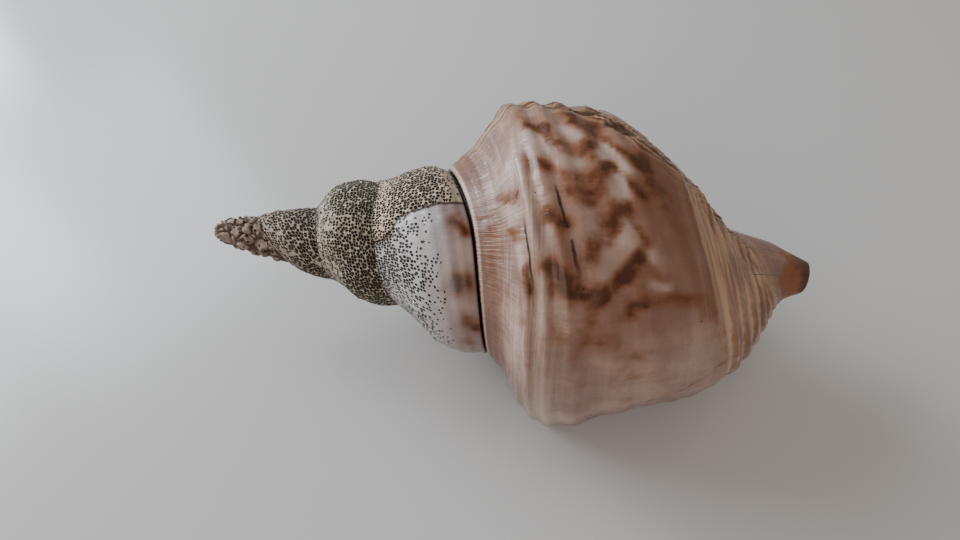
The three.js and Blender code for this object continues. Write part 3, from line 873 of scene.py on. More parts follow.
# %% Strength of the marks at each point
point_age, point_across = np.concatenate(growth_of_points).T
outside = 1 - np.concatenate(inside_of_points)
MARK_SPREAD = 1.45
WASH_SPREAD = 2.7
MARK_EDGE = 1.9
MARK_BOW = 0.3  # how far back in age a mark's two ends bow, as a share of its length
AGE_STRETCH = 5  # a step in age is about five times as long as the same step across
AGE_WANDER = (0.0035, 7)  # how far noise moves the marks in age, and its size in mm
ACROSS_WANDER = (0.014, 6)


def strength_of(marks, legs, spread=MARK_SPREAD):
    """How strongly marks and legs cover each point of the shell. A mark fades with its
    elliptical distance and a leg with the distance from its middle line, both as e to the minus
    MARK_EDGE power. What one leaves bare the next may cover, so neighbours run together. Noise
    moves the places first, so that no outline stays smooth."""
    age = point_age + AGE_WANDER[0] * rough(axis_points, AGE_WANDER[1])
    across = point_across + ACROSS_WANDER[0] * rough(axis_points + 40, ACROSS_WANDER[1])
    bare = np.ones(len(age))
    for mark_age, mark_across, length, width, strength in marks:
        aside = (across - mark_across) / width
        bow = np.minimum(MARK_BOW * aside ** 2 * length, length)
        distance = np.hypot((age - mark_age + bow) / length, aside)
        bare = bare * (1 - strength * np.exp(-((distance / spread) ** MARK_EDGE)))
    for leg_age, leg_across, end_age, end_across, width, strength in legs:
        line = np.array([(end_age - leg_age) * AGE_STRETCH, end_across - leg_across])
        there = np.stack([(age - leg_age) * AGE_STRETCH, across - leg_across], -1)
        share = np.clip(there @ line / (line @ line), 0, 1)
        distance = np.linalg.norm(there - share[:, None] * line, axis=1) / width
        bare = bare * (1 - strength * np.exp(-((distance / spread) ** MARK_EDGE)))
    return 1 - bare


def store_outer(name, values):
    """Keeps numbers on the outer surface, and 0 inside."""
    store(name, values * outside)


brown_marks = SHOULDER_FLAMES + GIRTH_FLAMES + BASE_FLAMES + OLDER_FLAMES + far_flames
store_outer("brown", strength_of(brown_marks, BROWN_LEGS))
store_outer("wash", strength_of(brown_marks, BROWN_LEGS, WASH_SPREAD))
store_outer("pale_and_highlight", strength_of(PALE_WEDGES, PALE_AND_HIGHLIGHT_LEGS))
print("brown marks and legs:", len(brown_marks) + len(BROWN_LEGS))

# %% [markdown]
# ## Wear and painted shade as numbers
# Boring sponges have riddled the spire with round holes, most of all where the shell is oldest.
# Three more numbers per point say how thickly the holes crowd, how much of the glaze is gone and
# how dark the gouges beside the old lip and the crevices of the apex are painted: their dirt with
# painted shade.

# %% Holes, chalk, and dirt with painted shade
HOLES_YOUNG_SIDE = [(0, 0.8), (0.12, 0.62), (0.35, 0.6), (0.5, 0.42), (0.68, 0.04), (0.75, 0), (1, 0)]
HOLES_OLD_SIDE = [(0, 0.85), (0.1, 0.6), (0.25, 0.85), (0.55, 1), (0.75, 0.75), (0.9, 0.3), (1, 0.1)]
HOLES_THIRD_WHORL = [(0, 0.8), (0.1, 0.55), (0.3, 0.6), (0.5, 0.9), (0.8, 1), (1, 1)]
SECOND_WHORL = (0.93, 1.04)
THIRD_WHORL = (1.98, 2.05)
PATCHINESS = 0.25
LUMPS_WITHOUT_HOLES = 0.75
CREVICE = (0.15, 0.75)
CREVICE_SHADE = 0.9

break_step = smoothstep(point_age - curve(BREAK_LINE, point_across), -0.002, 0.006)
second_whorl = smoothstep(point_age, *SECOND_WHORL)
third_whorl = smoothstep(point_age, *THIRD_WHORL)
young_side = curve(HOLES_YOUNG_SIDE, point_across)
old_side = curve(HOLES_OLD_SIDE, point_across)
holes = young_side + (old_side - young_side) * break_step
holes = holes + (curve(HOLES_THIRD_WHORL, point_across) - holes) * third_whorl
patchy = rough(axis_points + 90, 12)
holes = holes * second_whorl * (1 + PATCHINESS * patchy)
lump, lumpy_share = apex_lumps(point_age, axis_points)
holes = holes * (1 - LUMPS_WITHOUT_HOLES * lumpy_share)
store_outer("holes", np.clip(holes, 0, 1))

glaze_left = (1 - smoothstep(point_across, 0.35, 0.7)) * 0.5
chalk = (glaze_left + (1 - glaze_left) * break_step) * second_whorl
chalk = np.maximum(chalk, third_whorl)
store_outer("chalk", np.clip(chalk, 0, 1))

_, _, bite = old_lip(point_age, point_across, axis_points)
# Painted shade with dirt: the crevices between the apex's lumps and the gouges beside the old lip.
crevices = (1 - smoothstep(lump, *CREVICE)) * lumpy_share * CREVICE_SHADE
store_outer("shade_and_dirt", np.maximum(crevices, smoothstep(bite, 0.15, 0.6)))
print("mean share of holes on the spire:", round(float(holes[point_age > 1].mean()), 2))

# %% [markdown]
# ## A map in real millimetres
# Round holes need a flat map that is true to size, or they would turn into slots. The map's
# first number is the length of the whorl's spiral up to each age, and its second the distance
# from the seam above. It is stored per corner of each face, as it jumps at every seam.

# %% The true-size map
AGE_STEPS = 1200
WIDTH_STEPS = 40
WHORL_MIDDLE = 0.55

age_table = np.linspace(0, TURNS, AGE_STEPS)
middle_radius = section_at(age_table, np.full(AGE_STEPS, WHORL_MIDDLE))[:, 1]
spiral_table = np.concatenate([[0], np.cumsum(2 * np.pi * middle_radius[1:] * np.diff(age_table))])
width_table = np.zeros(AGE_STEPS)
previous = section_at(age_table, np.zeros(AGE_STEPS))
for value in np.linspace(0, 1, WIDTH_STEPS + 1)[1:]:
    current = section_at(age_table, np.full(AGE_STEPS, value))
    width_table += np.linalg.norm(current - previous, axis=1)
    previous = current
corner_age, corner_across = growth_of_corners.T
true_size = np.stack([
    np.interp(corner_age, age_table, spiral_table),
    corner_across * np.interp(corner_age, age_table, width_table)], -1)
size_map = mesh.uv_layers.new(name="true_size")
size_map.data.foreach_set("uv", (true_size * MM).ravel())
print("length of the whole spiral:", round(spiral_table[-1]), "mm")


def on_map(age, across):
    """A place of the true-size map, in metres."""
    return (
        float(np.interp(age, age_table, spiral_table)) * MM,
        float(across * np.interp(age, age_table, width_table)) * MM,
        0.0)


# %% [markdown]
# ## Shader maths as Python
# A material is a sum of simple patterns. Written as nodes by hand it would fill pages, so one
# small class wraps a socket, and plus, minus and times on it add the Math nodes.

# %% The socket class
class Pattern:
    """A number, colour or vector on its way through a material's nodes."""

    def __init__(self, tree, socket=None):
        self.tree = tree
        self.socket = socket

    def node(self, kind, settings=None, inputs=None, output=0):
        """Adds any node: its settings first, then its inputs, by name or number."""
        made = self.tree.nodes.new(kind)
        for name, value in (settings or {}).items():
            setattr(made, name, value)
        for name, value in (inputs or {}).items():
            if isinstance(value, Pattern):
                self.tree.links.new(value.socket, made.inputs[name])
            else:
                made.inputs[name].default_value = value
        return Pattern(self.tree, made.outputs[output])

    def math(self, operation, *others):
        """A Math node on this number and up to two others."""
        return self.node("ShaderNodeMath", {"operation": operation}, dict(enumerate((self, *others))))

    def before(self, operation, other):
        """A Math node with the other number first."""
        return self.node("ShaderNodeMath", {"operation": operation}, {0: other, 1: self})

    def __add__(self, other):
        return self.math("ADD", other)

    def __sub__(self, other):
        return self.math("SUBTRACT", other)

    def __mul__(self, other):
        return self.math("MULTIPLY", other)

    def __truediv__(self, other):
        return self.math("DIVIDE", other)

    def __radd__(self, other):
        return self.before("ADD", other)

    def __rsub__(self, other):
        return self.before("SUBTRACT", other)

    def __rmul__(self, other):
        return self.before("MULTIPLY", other)

    def most(self, other):
        """The larger of the two numbers."""
        return self.math("MAXIMUM", other)

    def step(self, low, high):
        """0 below low and 1 above high, smooth between them. High may be below low."""
        settings = {"interpolation_type": "SMOOTHSTEP"}
        if low <= high:
            return self.node("ShaderNodeMapRange", settings, {0: self, 1: low, 2: high, 3: 0.0, 4: 1.0})
        return self.node("ShaderNodeMapRange", settings, {0: self, 1: high, 2: low, 3: 1.0, 4: 0.0})

    def band(self, start, full, fading, end):
        """0 before start, 1 from full to fading and 0 past end."""
        return self.step(start, full) * self.step(end, fading)

    def line(self, *keys):
        """A straight line through two keys, or a bent one through more, level outside them."""
        (first, value), (second, next_value) = keys[:2]
        made = self.node("ShaderNodeMapRange", {}, {0: self, 1: first, 2: second, 3: value, 4: next_value})
        for (start, value), (end, next_value) in zip(keys[1:], keys[2:]):
            rise = {0: self, 1: start, 2: end, 3: 0.0, 4: next_value - value}
            made = made + self.node("ShaderNodeMapRange", inputs=rise)
        return made

    def within(self, width, soft=0.5):
        """1 within width of 0 on both sides, softened over a share of the width."""
        return self.math("ABSOLUTE").step(width * (1 + soft), width * (1 - soft))

    def wave(self, length, crest=0.0):
        """A cosine of the given wavelength, from -1 to 1, with a crest at the given value."""
        return ((self - crest) * (2 * math.pi / length)).math("COSINE")

    def mix(self, first, second):
        """Blends two colours, self being the share of the second."""
        made = self.node("ShaderNodeMix", {"data_type": "RGBA", "clamp_factor": True}, {0: self}, 2)
        for number, colour in ((6, first), (7, second)):
            target = made.socket.node.inputs[number]
            if isinstance(colour, Pattern):
                self.tree.links.new(colour.socket, target)
            else:
                target.default_value = (*colour, 1)
        return made


def srgb(red, green, blue):
    """A colour as seen on screen, 0 to 255, as the linear light that shaders use."""
    values = []
    for value in (red, green, blue):
        share = value / 255
        values.append(share / 12.92 if share <= 0.04045 else ((share + 0.055) / 1.055) ** 2.4)
    return tuple(values)


def new_material(name):
    """An empty material, its tree as a Pattern and its main shader."""
    material = bpy.data.materials.new(name)
    material.use_nodes = True
    tree = material.node_tree
    shader = tree.nodes["Principled BSDF"]
    return material, Pattern(tree), shader


print("half of full brightness on screen is", round(srgb(127.5, 127.5, 127.5)[0], 3), "of full light")

# %% [markdown]
# ## The shell's finish
# The young shell is glazed, cream to mauve, under its brown flames. The old whorls have lost
# their glaze. Layers are mixed one over the other, from the ground up to the dirt and the painted
# shade of recesses and seams, and each is placed by the growth numbers, so it curves with the whorl as it
# grew.

# %% Places to paint by
finish, canvas, shader = new_material("shell_finish")
links = finish.node_tree.links


def parts_of(vector):
    """The three numbers of a vector."""
    return [canvas.node("ShaderNodeSeparateXYZ", inputs={0: vector}, output=number) for number in range(3)]


def stored(name):
    """A number kept on the mesh's points."""
    return canvas.node("ShaderNodeAttribute", {"attribute_name": name}, output=2)


growth = canvas.node("ShaderNodeUVMap", {"uv_map": "growth"})
turn, across, _ = parts_of(growth)
sized = canvas.node("ShaderNodeUVMap", {"uv_map": "true_size"})
from_seam = parts_of(sized)[1]
place = canvas.node("ShaderNodeTexCoord", output=3)
along_axis = parts_of(place)[0]
inside = stored("inside")


def cloud(size, detail=2.0, roughness=0.5, shift=0.0):
    """Soft noise about 0.5, in spots of about the given size in metres."""
    moved = canvas.node("ShaderNodeVectorMath", {"operation": "ADD"}, {0: place, 1: (shift, shift, shift)})
    inputs = {"Vector": moved, "Scale": 1 / size, "Detail": detail, "Roughness": roughness}
    return canvas.node("ShaderNodeTexNoise", {"noise_dimensions": "3D"}, inputs)


def streaks(turn_size, across_size, detail=2.0, shift=0.0):
    """Noise in growth numbers: spots as long as turn_size and as wide as across_size."""
    vector = canvas.node(
        "ShaderNodeCombineXYZ",
        inputs={0: turn / turn_size + shift, 1: across / across_size, 2: shift})
    inputs = {"Vector": vector, "Scale": 1.0, "Detail": detail, "Roughness": 0.55}
    return canvas.node("ShaderNodeTexNoise", {"noise_dimensions": "3D"}, inputs)


def count_nodes(step):
    """Prints how many nodes the finish has after a step."""
    print("nodes after", step + ":", len(finish.node_tree.nodes))


speck_cloud = cloud(0.0012, 3.0, 0.6, 4.0)
fine_cloud = cloud(0.0035, 3.0)
mid_cloud = cloud(0.009, 3.0, 0.55, 2.0)
wide_cloud = cloud(0.024)
mid_swing = mid_cloud - 0.5  # about 0 in the mean, for what the noise moves or fades
fine_swing = fine_cloud - 0.5
count_nodes("the soft noises")

# %% Ground of the glazed shell
CREAM = srgb(164, 138, 125)
MAUVE = srgb(130, 104, 97)
TAN = srgb(120, 84, 62)
PINKISH = srgb(112, 79, 67)
PALE = srgb(184, 164, 154)
GREY_MAUVE = srgb(128, 116, 116)

ground = wide_cloud.step(0.35, 0.65).mix(CREAM, MAUVE)
growth_tone = streaks(0.012, 0.9, 3.0, 2.0)
ground = (growth_tone.step(0.45, 0.75) * 0.35).mix(ground, TAN)
on_last_turn = turn.step(1.0, 0.98)
on_shoulder = across.band(0.12, 0.25, 0.55, 0.75)
pale_lines = streaks(0.13, 0.034, 2.0, 3.0).step(0.46, 0.66)
ground = (pale_lines * (0.12 + 0.4 * on_shoulder)).mix(ground, PALE)
tan_lines = streaks(0.11, 0.026, 2.0, 6.0).step(0.48, 0.68)
ground = (tan_lines * (0.1 + 0.35 * on_shoulder)).mix(ground, TAN)
ground = (fine_cloud.step(0.45, 0.65) * mid_cloud.step(0.4, 0.6) * 0.3).mix(ground, TAN)
seam_band = across.step(0.3, 0.16) * on_last_turn
ground = (seam_band * (0.75 + 0.6 * (streaks(0.02, 0.03) - 0.5))).mix(ground, PINKISH)
base_tone = across.step(0.6, 0.95) * 0.5 + across.step(1.02, 1.25) * 0.5
base_tone = base_tone * across.step(2.0, 1.6) * turn.step(0.2, 0.3) * on_last_turn
ground = (base_tone * (0.75 + 0.8 * mid_swing)).mix(ground, TAN)
ground = (turn.step(0.95, 1.04) * 0.7).mix(ground, GREY_MAUVE)
count_nodes("the ground")

# %% [markdown]
# ### Flames
# A real flame is darkest in its middle and fades into a brown wash. A ramp on the mark's strength
# alone would look airbrushed. So noise is added to the strength first, which frays the edges
# along the growth lines, and then wash, brown and chocolate lie over one another.

# %% Flames over the ground
BROWN = srgb(115, 71, 46)
CHOCOLATE = srgb(68, 33, 14)
WASH = srgb(122, 82, 62)

brown = stored("brown")
pale_and_highlight_mark = stored("pale_and_highlight")
wash = stored("wash").step(0.25, 0.9) * (0.5 + 0.8 * mid_swing) * (1.0 - pale_and_highlight_mark * 0.8)
ground = wash.mix(ground, WASH)
frayed = brown + brown * (1.3 * mid_swing + 0.8 * fine_swing + 0.6 * (growth_tone - 0.5))
frayed = frayed - pale_and_highlight_mark * (0.3 + 0.8 * (fine_cloud - 0.3))
flame = frayed.step(0.15, 0.7)
# Pale tents, and one painted highlight on the shoulder.
pale_and_highlight = pale_and_highlight_mark * (1.0 - flame * 0.7)
glaze = (pale_and_highlight * 0.75).mix(ground, PALE)
glaze = (flame * 0.9).mix(glaze, BROWN)
glaze = (frayed.step(0.5, 0.95) * 0.95).mix(glaze, CHOCOLATE)
count_nodes("the flames")

# %% [markdown]
# ### Base and canal
# Below its girth the shell has hardly any flames, but sandy cords that fan out towards the canal,
# and the canal's end is a plain worn brown. The cords run along the whorl, so they are a wave
# across it. The brown end is cut off at a place on the axis, as wear took it straight across.

# %% Fan of the base, and the canal
CANAL = srgb(136, 82, 50)
CANAL_EDGE = srgb(78, 42, 24)
SAND = srgb(214, 178, 146)
CANAL_START = 0.104
CANAL_EDGE_WIDTH = 0.004
FAN_SPACING = 0.14
FAN_CREST = 1.62
FAN_BAND = (1.3, 1.6, 2.3, 2.6)

on_fan = across.band(*FAN_BAND)
fan = across.wave(FAN_SPACING, FAN_CREST) + fine_swing * 1.6
fan = fan.step(0.0, 0.9) * on_fan * turn.step(0.34, 0.2)
glaze = (on_fan * streaks(0.5, 0.05, 3.0, 5.0).step(0.36, 0.6) * 0.65).mix(glaze, SAND)
glaze = (fan * 0.7).mix(glaze, BROWN)
on_canal = along_axis + mid_swing * 0.016
on_canal = on_canal.step(CANAL_START, CANAL_START + CANAL_EDGE_WIDTH)
canal_colour = (fine_cloud * 0.8 + across.step(2.8, 3.0) * 0.6).step(0.35, 0.95).mix(CANAL, CANAL_EDGE)
glaze = (on_canal * 0.9).mix(glaze, canal_colour)
count_nodes("the base and the canal")

# %% [markdown]
# ### Bored whorls
# Sponges have bored the old whorls until only a net of chalk is left between the holes. Dots of
# one size on a grid would look printed. A texture of irregular cells gives the net: the distance
# to a cell's own point draws its round hole, the distance to the cell's edge keeps a thin wall,
# and the crowding number says how many cells have a hole.

# %% Old, bored whorls
CHALK = srgb(122, 114, 98)
PALE_CHALK = srgb(176, 167, 151)
LUMP_CHALK = srgb(134, 116, 108)
PATCH = srgb(158, 147, 140)
# Worn brown of the apex's tip and the ridge's lines, also the colour of the painted shade in recesses.
WORN_BROWN_AND_SHADE = srgb(54, 34, 24)
OCHRE = srgb(150, 124, 92)
PINK_CHALK = srgb(206, 184, 166)
BLUISH_GLAZE = srgb(188, 186, 190)
HOLE = srgb(22, 19, 15)
HOLE_SPACING = 0.0013
SMALLEST_HOLE = 0.23  # radius as a share of the spacing
LARGEST_HOLE = 0.54
APEX_TIP = -0.113

holes = stored("holes")
dull = stored("chalk")
smooth_patch = cloud(0.009, 3.0, 0.6, 6.0).step(0.66, 0.69) * turn.step(1.9, 2.1)


def bored_holes(spacing, smallest, largest):
    """Dark round holes, one in most cells of an irregular honeycomb, with a thin wall left at
    the cells' edges. Each cell's own random number sizes its hole, and the crowding number
    decides how many cells have one and how wide they are."""
    inputs = {"Vector": sized, "Scale": 1 / spacing, "Randomness": 0.75}
    cell = canvas.node("ShaderNodeTexVoronoi", {"voronoi_dimensions": "2D", "feature": "F1"}, inputs)
    wall = canvas.node(
        "ShaderNodeTexVoronoi", {"voronoi_dimensions": "2D", "feature": "DISTANCE_TO_EDGE"}, inputs)
    own_colour = Pattern(cell.tree, cell.socket.node.outputs[1])
    chance, size, _ = parts_of(own_colour)
    radius = smallest + (largest - smallest) * (size * 0.35 + holes * 0.65)
    bored = (cell + (speck_cloud - 0.5) * 0.08 - radius).step(0.06, -0.06) * wall.step(0.03, 0.1)
    return bored * (chance - holes * 1.35).step(0.02, -0.02) * holes.step(0.0, 0.06)


hole = bored_holes(HOLE_SPACING, SMALLEST_HOLE, LARGEST_HOLE) * (1.0 - smooth_patch)
chalk = (fine_cloud * 0.6 + speck_cloud * 0.4).step(0.4, 0.62).mix(CHALK, PALE_CHALK)
pink_share = turn.step(1.9, 1.5) * (0.4 + 0.6 * across.step(0.5, 0.1))
chalk = (pink_share * 0.8).mix(chalk, PINK_CHALK)
chalk = (turn.step(2.4, 3.2) * 0.35 + turn.step(3.3, 3.7) * 0.45).mix(chalk, LUMP_CHALK)
chalk = (smooth_patch * 0.8).mix(chalk, PATCH)
at_tip = along_axis.step(APEX_TIP, APEX_TIP - 0.003)
chalk = (at_tip * 0.5).mix(chalk, OCHRE)
chalk = (at_tip * (speck_cloud * 0.5 + fine_cloud * 0.5).step(0.5, 0.6) * 0.85).mix(chalk, WORN_BROWN_AND_SHADE)
bluish_share = turn.step(0.92, 1.03) * across.step(0.92, 0.4) * (0.75 + 0.5 * mid_swing)
bluish = bluish_share.mix(glaze, BLUISH_GLAZE)
colour = dull.step(0.45, 0.75).mix(bluish, chalk)
colour = hole.mix(colour, HOLE)
count_nodes("the bored whorls")

# %% [markdown]
# ### Thin lines
# Slits along the spiral, cracks and the line beside the lip are thinner than the mesh's faces, so
# they are painted. The dark line along the ledge on the second whorl is the painted shadow of its
# step. Each is a narrow strip on both sides of a bent line in growth numbers, which
# noise moves a little, and it stays sharp however close the camera comes.

# %% Cracks, slits, the ledge's painted shadow, the lip's line and a few dark dots
CRACK_AND_SHADOW_COLOUR = srgb(34, 24, 19)
LIP_LINE = srgb(88, 50, 34)
RIDGE_OCHRE = srgb(178, 152, 122)
SLIT_WIDTH = 0.0085
FIRST_SLIT = ((0.187, 0.56), (0.276, 0.51), (0.345, 0.415))
FIRST_STRENGTH = ((0.17, 0.0), (0.26, 0.4), (0.285, 1.0), (0.325, 1.0), (0.34, 0.0))
SECOND_SLIT = ((0.29, 0.785), (0.37, 0.655))
SECOND_STRENGTH = ((0.28, 0.0), (0.3, 0.9), (0.36, 1.0), (0.37, 0.0))
CANAL_CRACK = (0.294, 2.2, 0.004)  # age, place across, and how fast the age falls across
LIP_LINE_KEYS = ((0.55, 0.076), (0.88, 0.084), (1.02, 0.114), (1.39, 0.16), (1.67, 0.19))
DARK_DOTS = [
    (0.181, 0.20, 0.7), (0.164, 0.17, 0.6), (0.244, 1.32, 0.6), (0.276, 0.80, 0.5), (0.36, 0.53, 0.6),
    (0.108, 1.06, 0.7), (0.19, 1.69, 0.9), (0.174, 1.56, 0.8), (0.62, 0.9, 0.6), (0.78, 1.2, 0.7),
]

wobble = mid_swing * 0.03 + fine_swing * 0.012
near_mouth = turn.step(0.9, 0.7)


def slit(keys, strength_keys):
    """A dark line along the spiral: across follows a bent line in age, and fades at its ends."""
    near = (across - turn.line(*keys) + wobble).within(SLIT_WIDTH)
    return near * turn.line(*strength_keys) * near_mouth


slits = slit(FIRST_SLIT, FIRST_STRENGTH).most(slit(SECOND_SLIT, SECOND_STRENGTH))
slits = slits * mid_cloud.step(0.36, 0.46)
crack_age, crack_across, crack_slope = CANAL_CRACK
canal_crack = turn - crack_age + (across - crack_across) * crack_slope + wobble * 0.4
canal_crack = canal_crack.within(0.001) * across.band(1.95, 2.1, 2.55, 2.62) * 0.8
# Painted shadow: a dark line along the ledge's step, where the older side stands higher.
ledge_shadow = (turn - across.line(*BREAK_LINE) + wobble * 0.25).within(0.0022, 0.7)
ledge_shadow = ledge_shadow * turn.band(1.2, 1.25, 1.45, 1.5)
cracks_and_ledge_shadow = slits.most(canal_crack).most(ledge_shadow * 0.9)
for dot_turn, dot_across, dot_radius in DARK_DOTS:
    ends = {0: sized, 1: on_map(dot_turn, dot_across)}
    away = canvas.node("ShaderNodeVectorMath", {"operation": "DISTANCE"}, ends, 1)
    cracks_and_ledge_shadow = cracks_and_ledge_shadow.most(away.step(dot_radius * MM * 0.8, dot_radius * MM * 0.4))
lip_line = (turn - across.line(*LIP_LINE_KEYS) + wobble * 0.15).within(0.0028, 0.8)
lip_line = lip_line * across.band(0.6, 0.7, 1.6, 1.75) * near_mouth
colour = (lip_line * mid_cloud.step(0.35, 0.6) * 0.7).mix(colour, LIP_LINE)
count_nodes("the thin lines")

# %% Colours of the old lip's ridge, and dirt with painted shade in the recesses
behind_ridge = turn - across.line(VARIX_LINE[0], *VARIX_LINE[2:])
on_ridge = (behind_ridge + wobble * 0.2).within(0.016, 0.6) * (1.0 - on_canal)
lamella_lines = (behind_ridge + wobble * 0.3).wave(0.009)
colour = (on_ridge * lamella_lines.step(-0.2, 0.6) * 0.6).mix(colour, RIDGE_OCHRE)
dark_lines = on_ridge * lamella_lines.step(-0.6, -0.95) * mid_cloud.step(0.4, 0.55)
colour = (dark_lines * 0.8).mix(colour, WORN_BROWN_AND_SHADE)
# Real cracks, slits and dots, and the ledge's painted shadow, all in one near black.
colour = (cracks_and_ledge_shadow * 0.92).mix(colour, CRACK_AND_SHADOW_COLOUR)
# Painted shade with dirt darkens the apex's crevices and the gouges beside the old lip.
colour = (stored("shade_and_dirt") * (0.7 + 0.5 * fine_cloud)).mix(colour, WORN_BROWN_AND_SHADE)
count_nodes("the ridge and the dirt")

# %% [markdown]
# ### Seams
# Between two whorls runs a groove, beside a pale worn edge. The mesh has the groove. Where the
# last whorl's edge stands open, the shade in the gap beside and under it is painted dark, and the
# older seams get a thin, broken dark line.
# The paint goes by the distance from the seam in real length, because a strip in growth numbers
# would be wide on the last whorl and thin as a hair on the spire.

# %% Seams
SEAM_LINE_AND_SHADOW = srgb(24, 18, 15)
PALE_EDGE = srgb(196, 170, 156)
EDGE_WIDTH = 0.0013

edge_place = from_seam + (streaks(0.006, 0.5, 2.0, 8.0) - 0.5) * 0.0017
last_turn = turn.step(1.0, 0.985)
pale_edge = edge_place.band(EDGE_WIDTH, EDGE_WIDTH * 1.4, EDGE_WIDTH * 2, EDGE_WIDTH * 3)
colour = (pale_edge * last_turn * 0.6).mix(colour, PALE_EDGE)
# Painted shadow in the open gap beside the last whorl's seam and under its edge, and a thin dark line on
# the older seams.
open_gap_shadow = edge_place.step(EDGE_WIDTH, EDGE_WIDTH * 0.6) * last_turn
under_gap_shadow = across.step(0.982, 0.99) * turn.band(1.03, 1.06, 1.98, 2.0)
old_seam = edge_place.step(0.0008, 0.0003) * (1.0 - last_turn) * mid_cloud.step(0.35, 0.55)
colour = open_gap_shadow.most(under_gap_shadow).most(old_seam * 0.8).mix(colour, SEAM_LINE_AND_SHADOW)
count_nodes("the seams")

# %% [markdown]
# ### Inside the mouth
# Such a shell is cream inside, with brown blotches between the pairs of teeth in its lip, and a
# dark columella with pale folds. The rings of the hollow carry the same growth numbers, counted
# on past the canal's tip and up the columella, so that the colours meet the teeth and the folds.

# %% Inside
THROAT = srgb(222, 196, 172)
LIP_CREAM = srgb(206, 180, 150)
BLOTCH = srgb(96, 52, 34)
FOLD_DARK = srgb(84, 46, 36)
PILLAR_BAND = (3.8, 4.1, 5.6, 5.8)

near_lip = turn.step(0.1, 0.02)
throat = near_lip.mix(THROAT, LIP_CREAM)
pairs = (across.wave(TOOTH_SPACING) * -1.0 + fine_swing).step(0.1, 0.6)
blotches = pairs * turn.step(0.045, 0.02) * across.band(0.25, 0.45, 2.8, 3.0)
throat = (blotches * 0.85).mix(throat, BLOTCH)
between_folds = ((2.0 * CANAL_TIP - across).wave(FOLD_SPACING) * -1.0).step(-0.3, 0.5)
on_pillar = across.band(*PILLAR_BAND) * turn.step(0.4, 0.2)
throat = (on_pillar * between_folds * 0.85).mix(throat, FOLD_DARK)
colour = inside.step(0.4, 0.9).mix(colour, throat)
count_nodes("the inside")

# %% [markdown]
# ### Fine relief and gloss
# Growth lines, the grain of the chalk and the depth of the holes are finer than the mesh's
# faces. Faces small enough would be millions, so a bump tilts the light instead. The glaze is
# smooth under a thin clear coat, and the chalk is rough and has none.

# %% Relief too fine for the mesh, and gloss
outer_side = 1.0 - inside.step(0.2, 0.6)
wrinkled = across.step(0.5, 0.25) * on_last_turn
growth_lines = streaks(0.004, 0.4, 2.0, 9.0) * (0.3 + 0.5 * wrinkled) + fine_cloud * 0.3
worn_grain = speck_cloud * 0.28 * dull
fine_height = growth_lines * (1.0 - dull * 0.7) * outer_side + worn_grain
fine_height = fine_height - hole * 0.9 * outer_side
bump = canvas.node("ShaderNodeBump", inputs={"Height": fine_height, "Distance": 0.0009, "Strength": 0.9})
roughness = 0.28 + 0.5 * dull.step(0.3, 0.9) + 0.35 * (mid_cloud - 0.4) + hole * 0.2
coat = (1.0 - dull.step(0.4, 0.8)) * 0.14

links.new(colour.socket, shader.inputs["Base Color"])
links.new(roughness.socket, shader.inputs["Roughness"])
links.new(bump.socket, shader.inputs["Normal"])
links.new(coat.socket, shader.inputs["Coat Weight"])
shader.inputs["Coat Roughness"].default_value = 0.12
shader.inputs["Specular IOR Level"].default_value = 0.24
mesh.materials.append(finish)
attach(shell, "root")
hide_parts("shell")
print("nodes in the shell's finish:", len(finish.node_tree.nodes))

# %% [markdown]
# ## Floor and light
# The shell lies on a plain pale sheet with a slight gloss, as on a painted table. Soft, cool
# light from the left, as from two windows and the sky, gives the highlights and the long shadow.
# A warm, dim light from the front and one from all round fill the shadow.

# %% Floor
FLOOR_SIDE = 4.0
half = FLOOR_SIDE / 2
floor_corners = [(-half, -half, 0), (half, -half, 0), (half, half, 0), (-half, half, 0)]
floor_mesh = bpy.data.meshes.new("floor")
floor_mesh.from_pydata(floor_corners, [], [(0, 1, 2, 3)])
floor = bpy.data.objects.new("floor", floor_mesh)
bpy.context.scene.collection.objects.link(floor)
floor_finish, _, floor_shader = new_material("floor_finish")
floor_shader.inputs["Base Color"].default_value = (*srgb(189, 189, 190), 1)
floor_shader.inputs["Roughness"].default_value = 0.2
floor_mesh.materials.append(floor_finish)
print("floor:", FLOOR_SIDE, "m square")


# %% Light
def area_light(name, location, target, size, power, colour=(1, 1, 1)):
    """A square soft light of the given side in metres, turned towards a target."""
    data = bpy.data.lights.new(name, "AREA")
    data.size = size
    data.energy = power
    data.color = colour
    light = bpy.data.objects.new(name, data)
    light.location = location
    light.rotation_euler = (Vector(location) - Vector(target)).to_track_quat("Z", "Y").to_euler()
    bpy.context.scene.collection.objects.link(light)


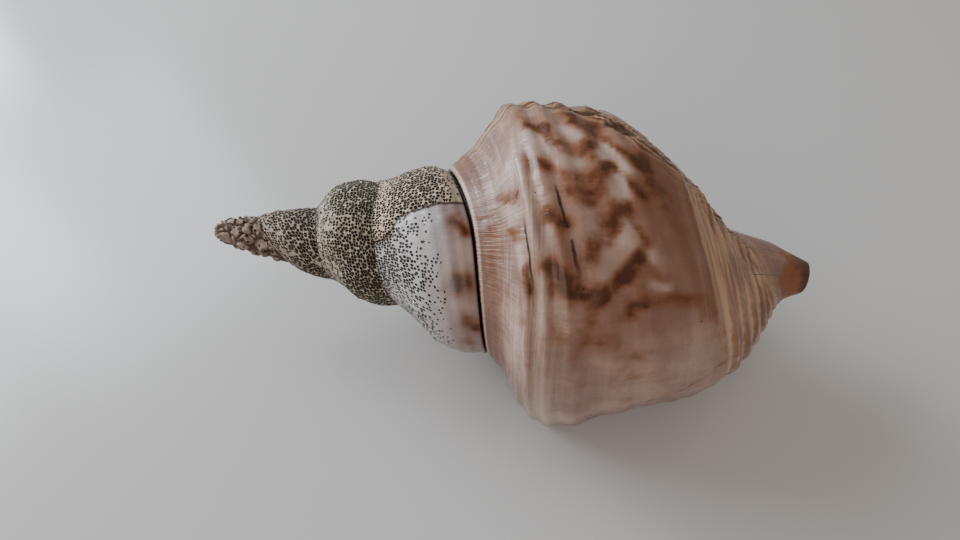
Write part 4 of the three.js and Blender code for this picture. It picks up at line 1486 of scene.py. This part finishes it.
area_light("window", (-1.1, 0.35, 0.66), (0, 0, 0.04), 0.7, 14, (0.86, 0.94, 1.0))
area_light("far window", (-0.95, 0.58, 0.34), (0, 0, 0.04), 0.36, 7, (0.9, 0.96, 1.0))
area_light("sky", (-0.62, 0.5, 0.62), (-0.05, 0.05, 0.0), 0.4, 2.8, (0.78, 0.9, 1.0))
area_light("room", (-0.5, -0.95, 0.6), (0, 0, 0.03), 0.8, 5.2, (1.0, 0.93, 0.86))
world = bpy.data.worlds.new("studio")
world.use_nodes = True
all_round = world.node_tree.nodes["Background"].inputs
all_round["Color"].default_value = (1.0, 0.88, 0.78, 1)
all_round["Strength"].default_value = 0.46
bpy.context.scene.world = world
print("lights:", [light.name for light in bpy.data.lights])

# %% [markdown]
# ## Camera
# The camera looks down on the shell from the front. It could be pushed about until the picture
# fits. Here its place comes from four measures, its angle, its turn, its distance and its focal
# length in pixels, and from the pixel at which the middle of the axis should appear.

# %% Camera
ELEVATION = math.radians(55)
YAW = math.radians(5.2)
DISTANCE = 0.29
FOCAL_PIXELS = 725
FRAME_PIXELS = (960, 540)
AIM_PIXEL = (513, 254)
SENSOR_WIDTH = 36
right = np.array([math.cos(YAW), math.sin(YAW), 0])
ahead = np.array([-math.sin(YAW), math.cos(YAW), 0])
overhead = np.array([0, 0, 1])
forward = ahead * math.cos(ELEVATION) - overhead * math.sin(ELEVATION)
up = ahead * math.sin(ELEVATION) + overhead * math.cos(ELEVATION)
per_pixel = DISTANCE / FOCAL_PIXELS
aim = (np.array([0, 0, AXIS_HEIGHT]) + FRAME_SHIFT) * MM
eye = aim - forward * DISTANCE
eye = eye - right * (AIM_PIXEL[0] - FRAME_PIXELS[0] / 2) * per_pixel
eye = eye - up * (FRAME_PIXELS[1] / 2 - AIM_PIXEL[1]) * per_pixel
camera_data = bpy.data.cameras.new("camera")
camera_data.sensor_width = SENSOR_WIDTH
camera_data.lens = SENSOR_WIDTH * FOCAL_PIXELS / FRAME_PIXELS[0]
camera_data.clip_start = 0.01
camera = bpy.data.objects.new("camera", camera_data)
camera.matrix_world = Matrix((
    (right[0], up[0], -forward[0], eye[0]),
    (right[1], up[1], -forward[1], eye[1]),
    (right[2], up[2], -forward[2], eye[2]),
    (0, 0, 0, 1),
))
bpy.context.scene.collection.objects.link(camera)
bpy.context.scene.camera = camera
print("camera stands at", eye.round(3), "with a lens of", round(camera_data.lens, 1), "mm")
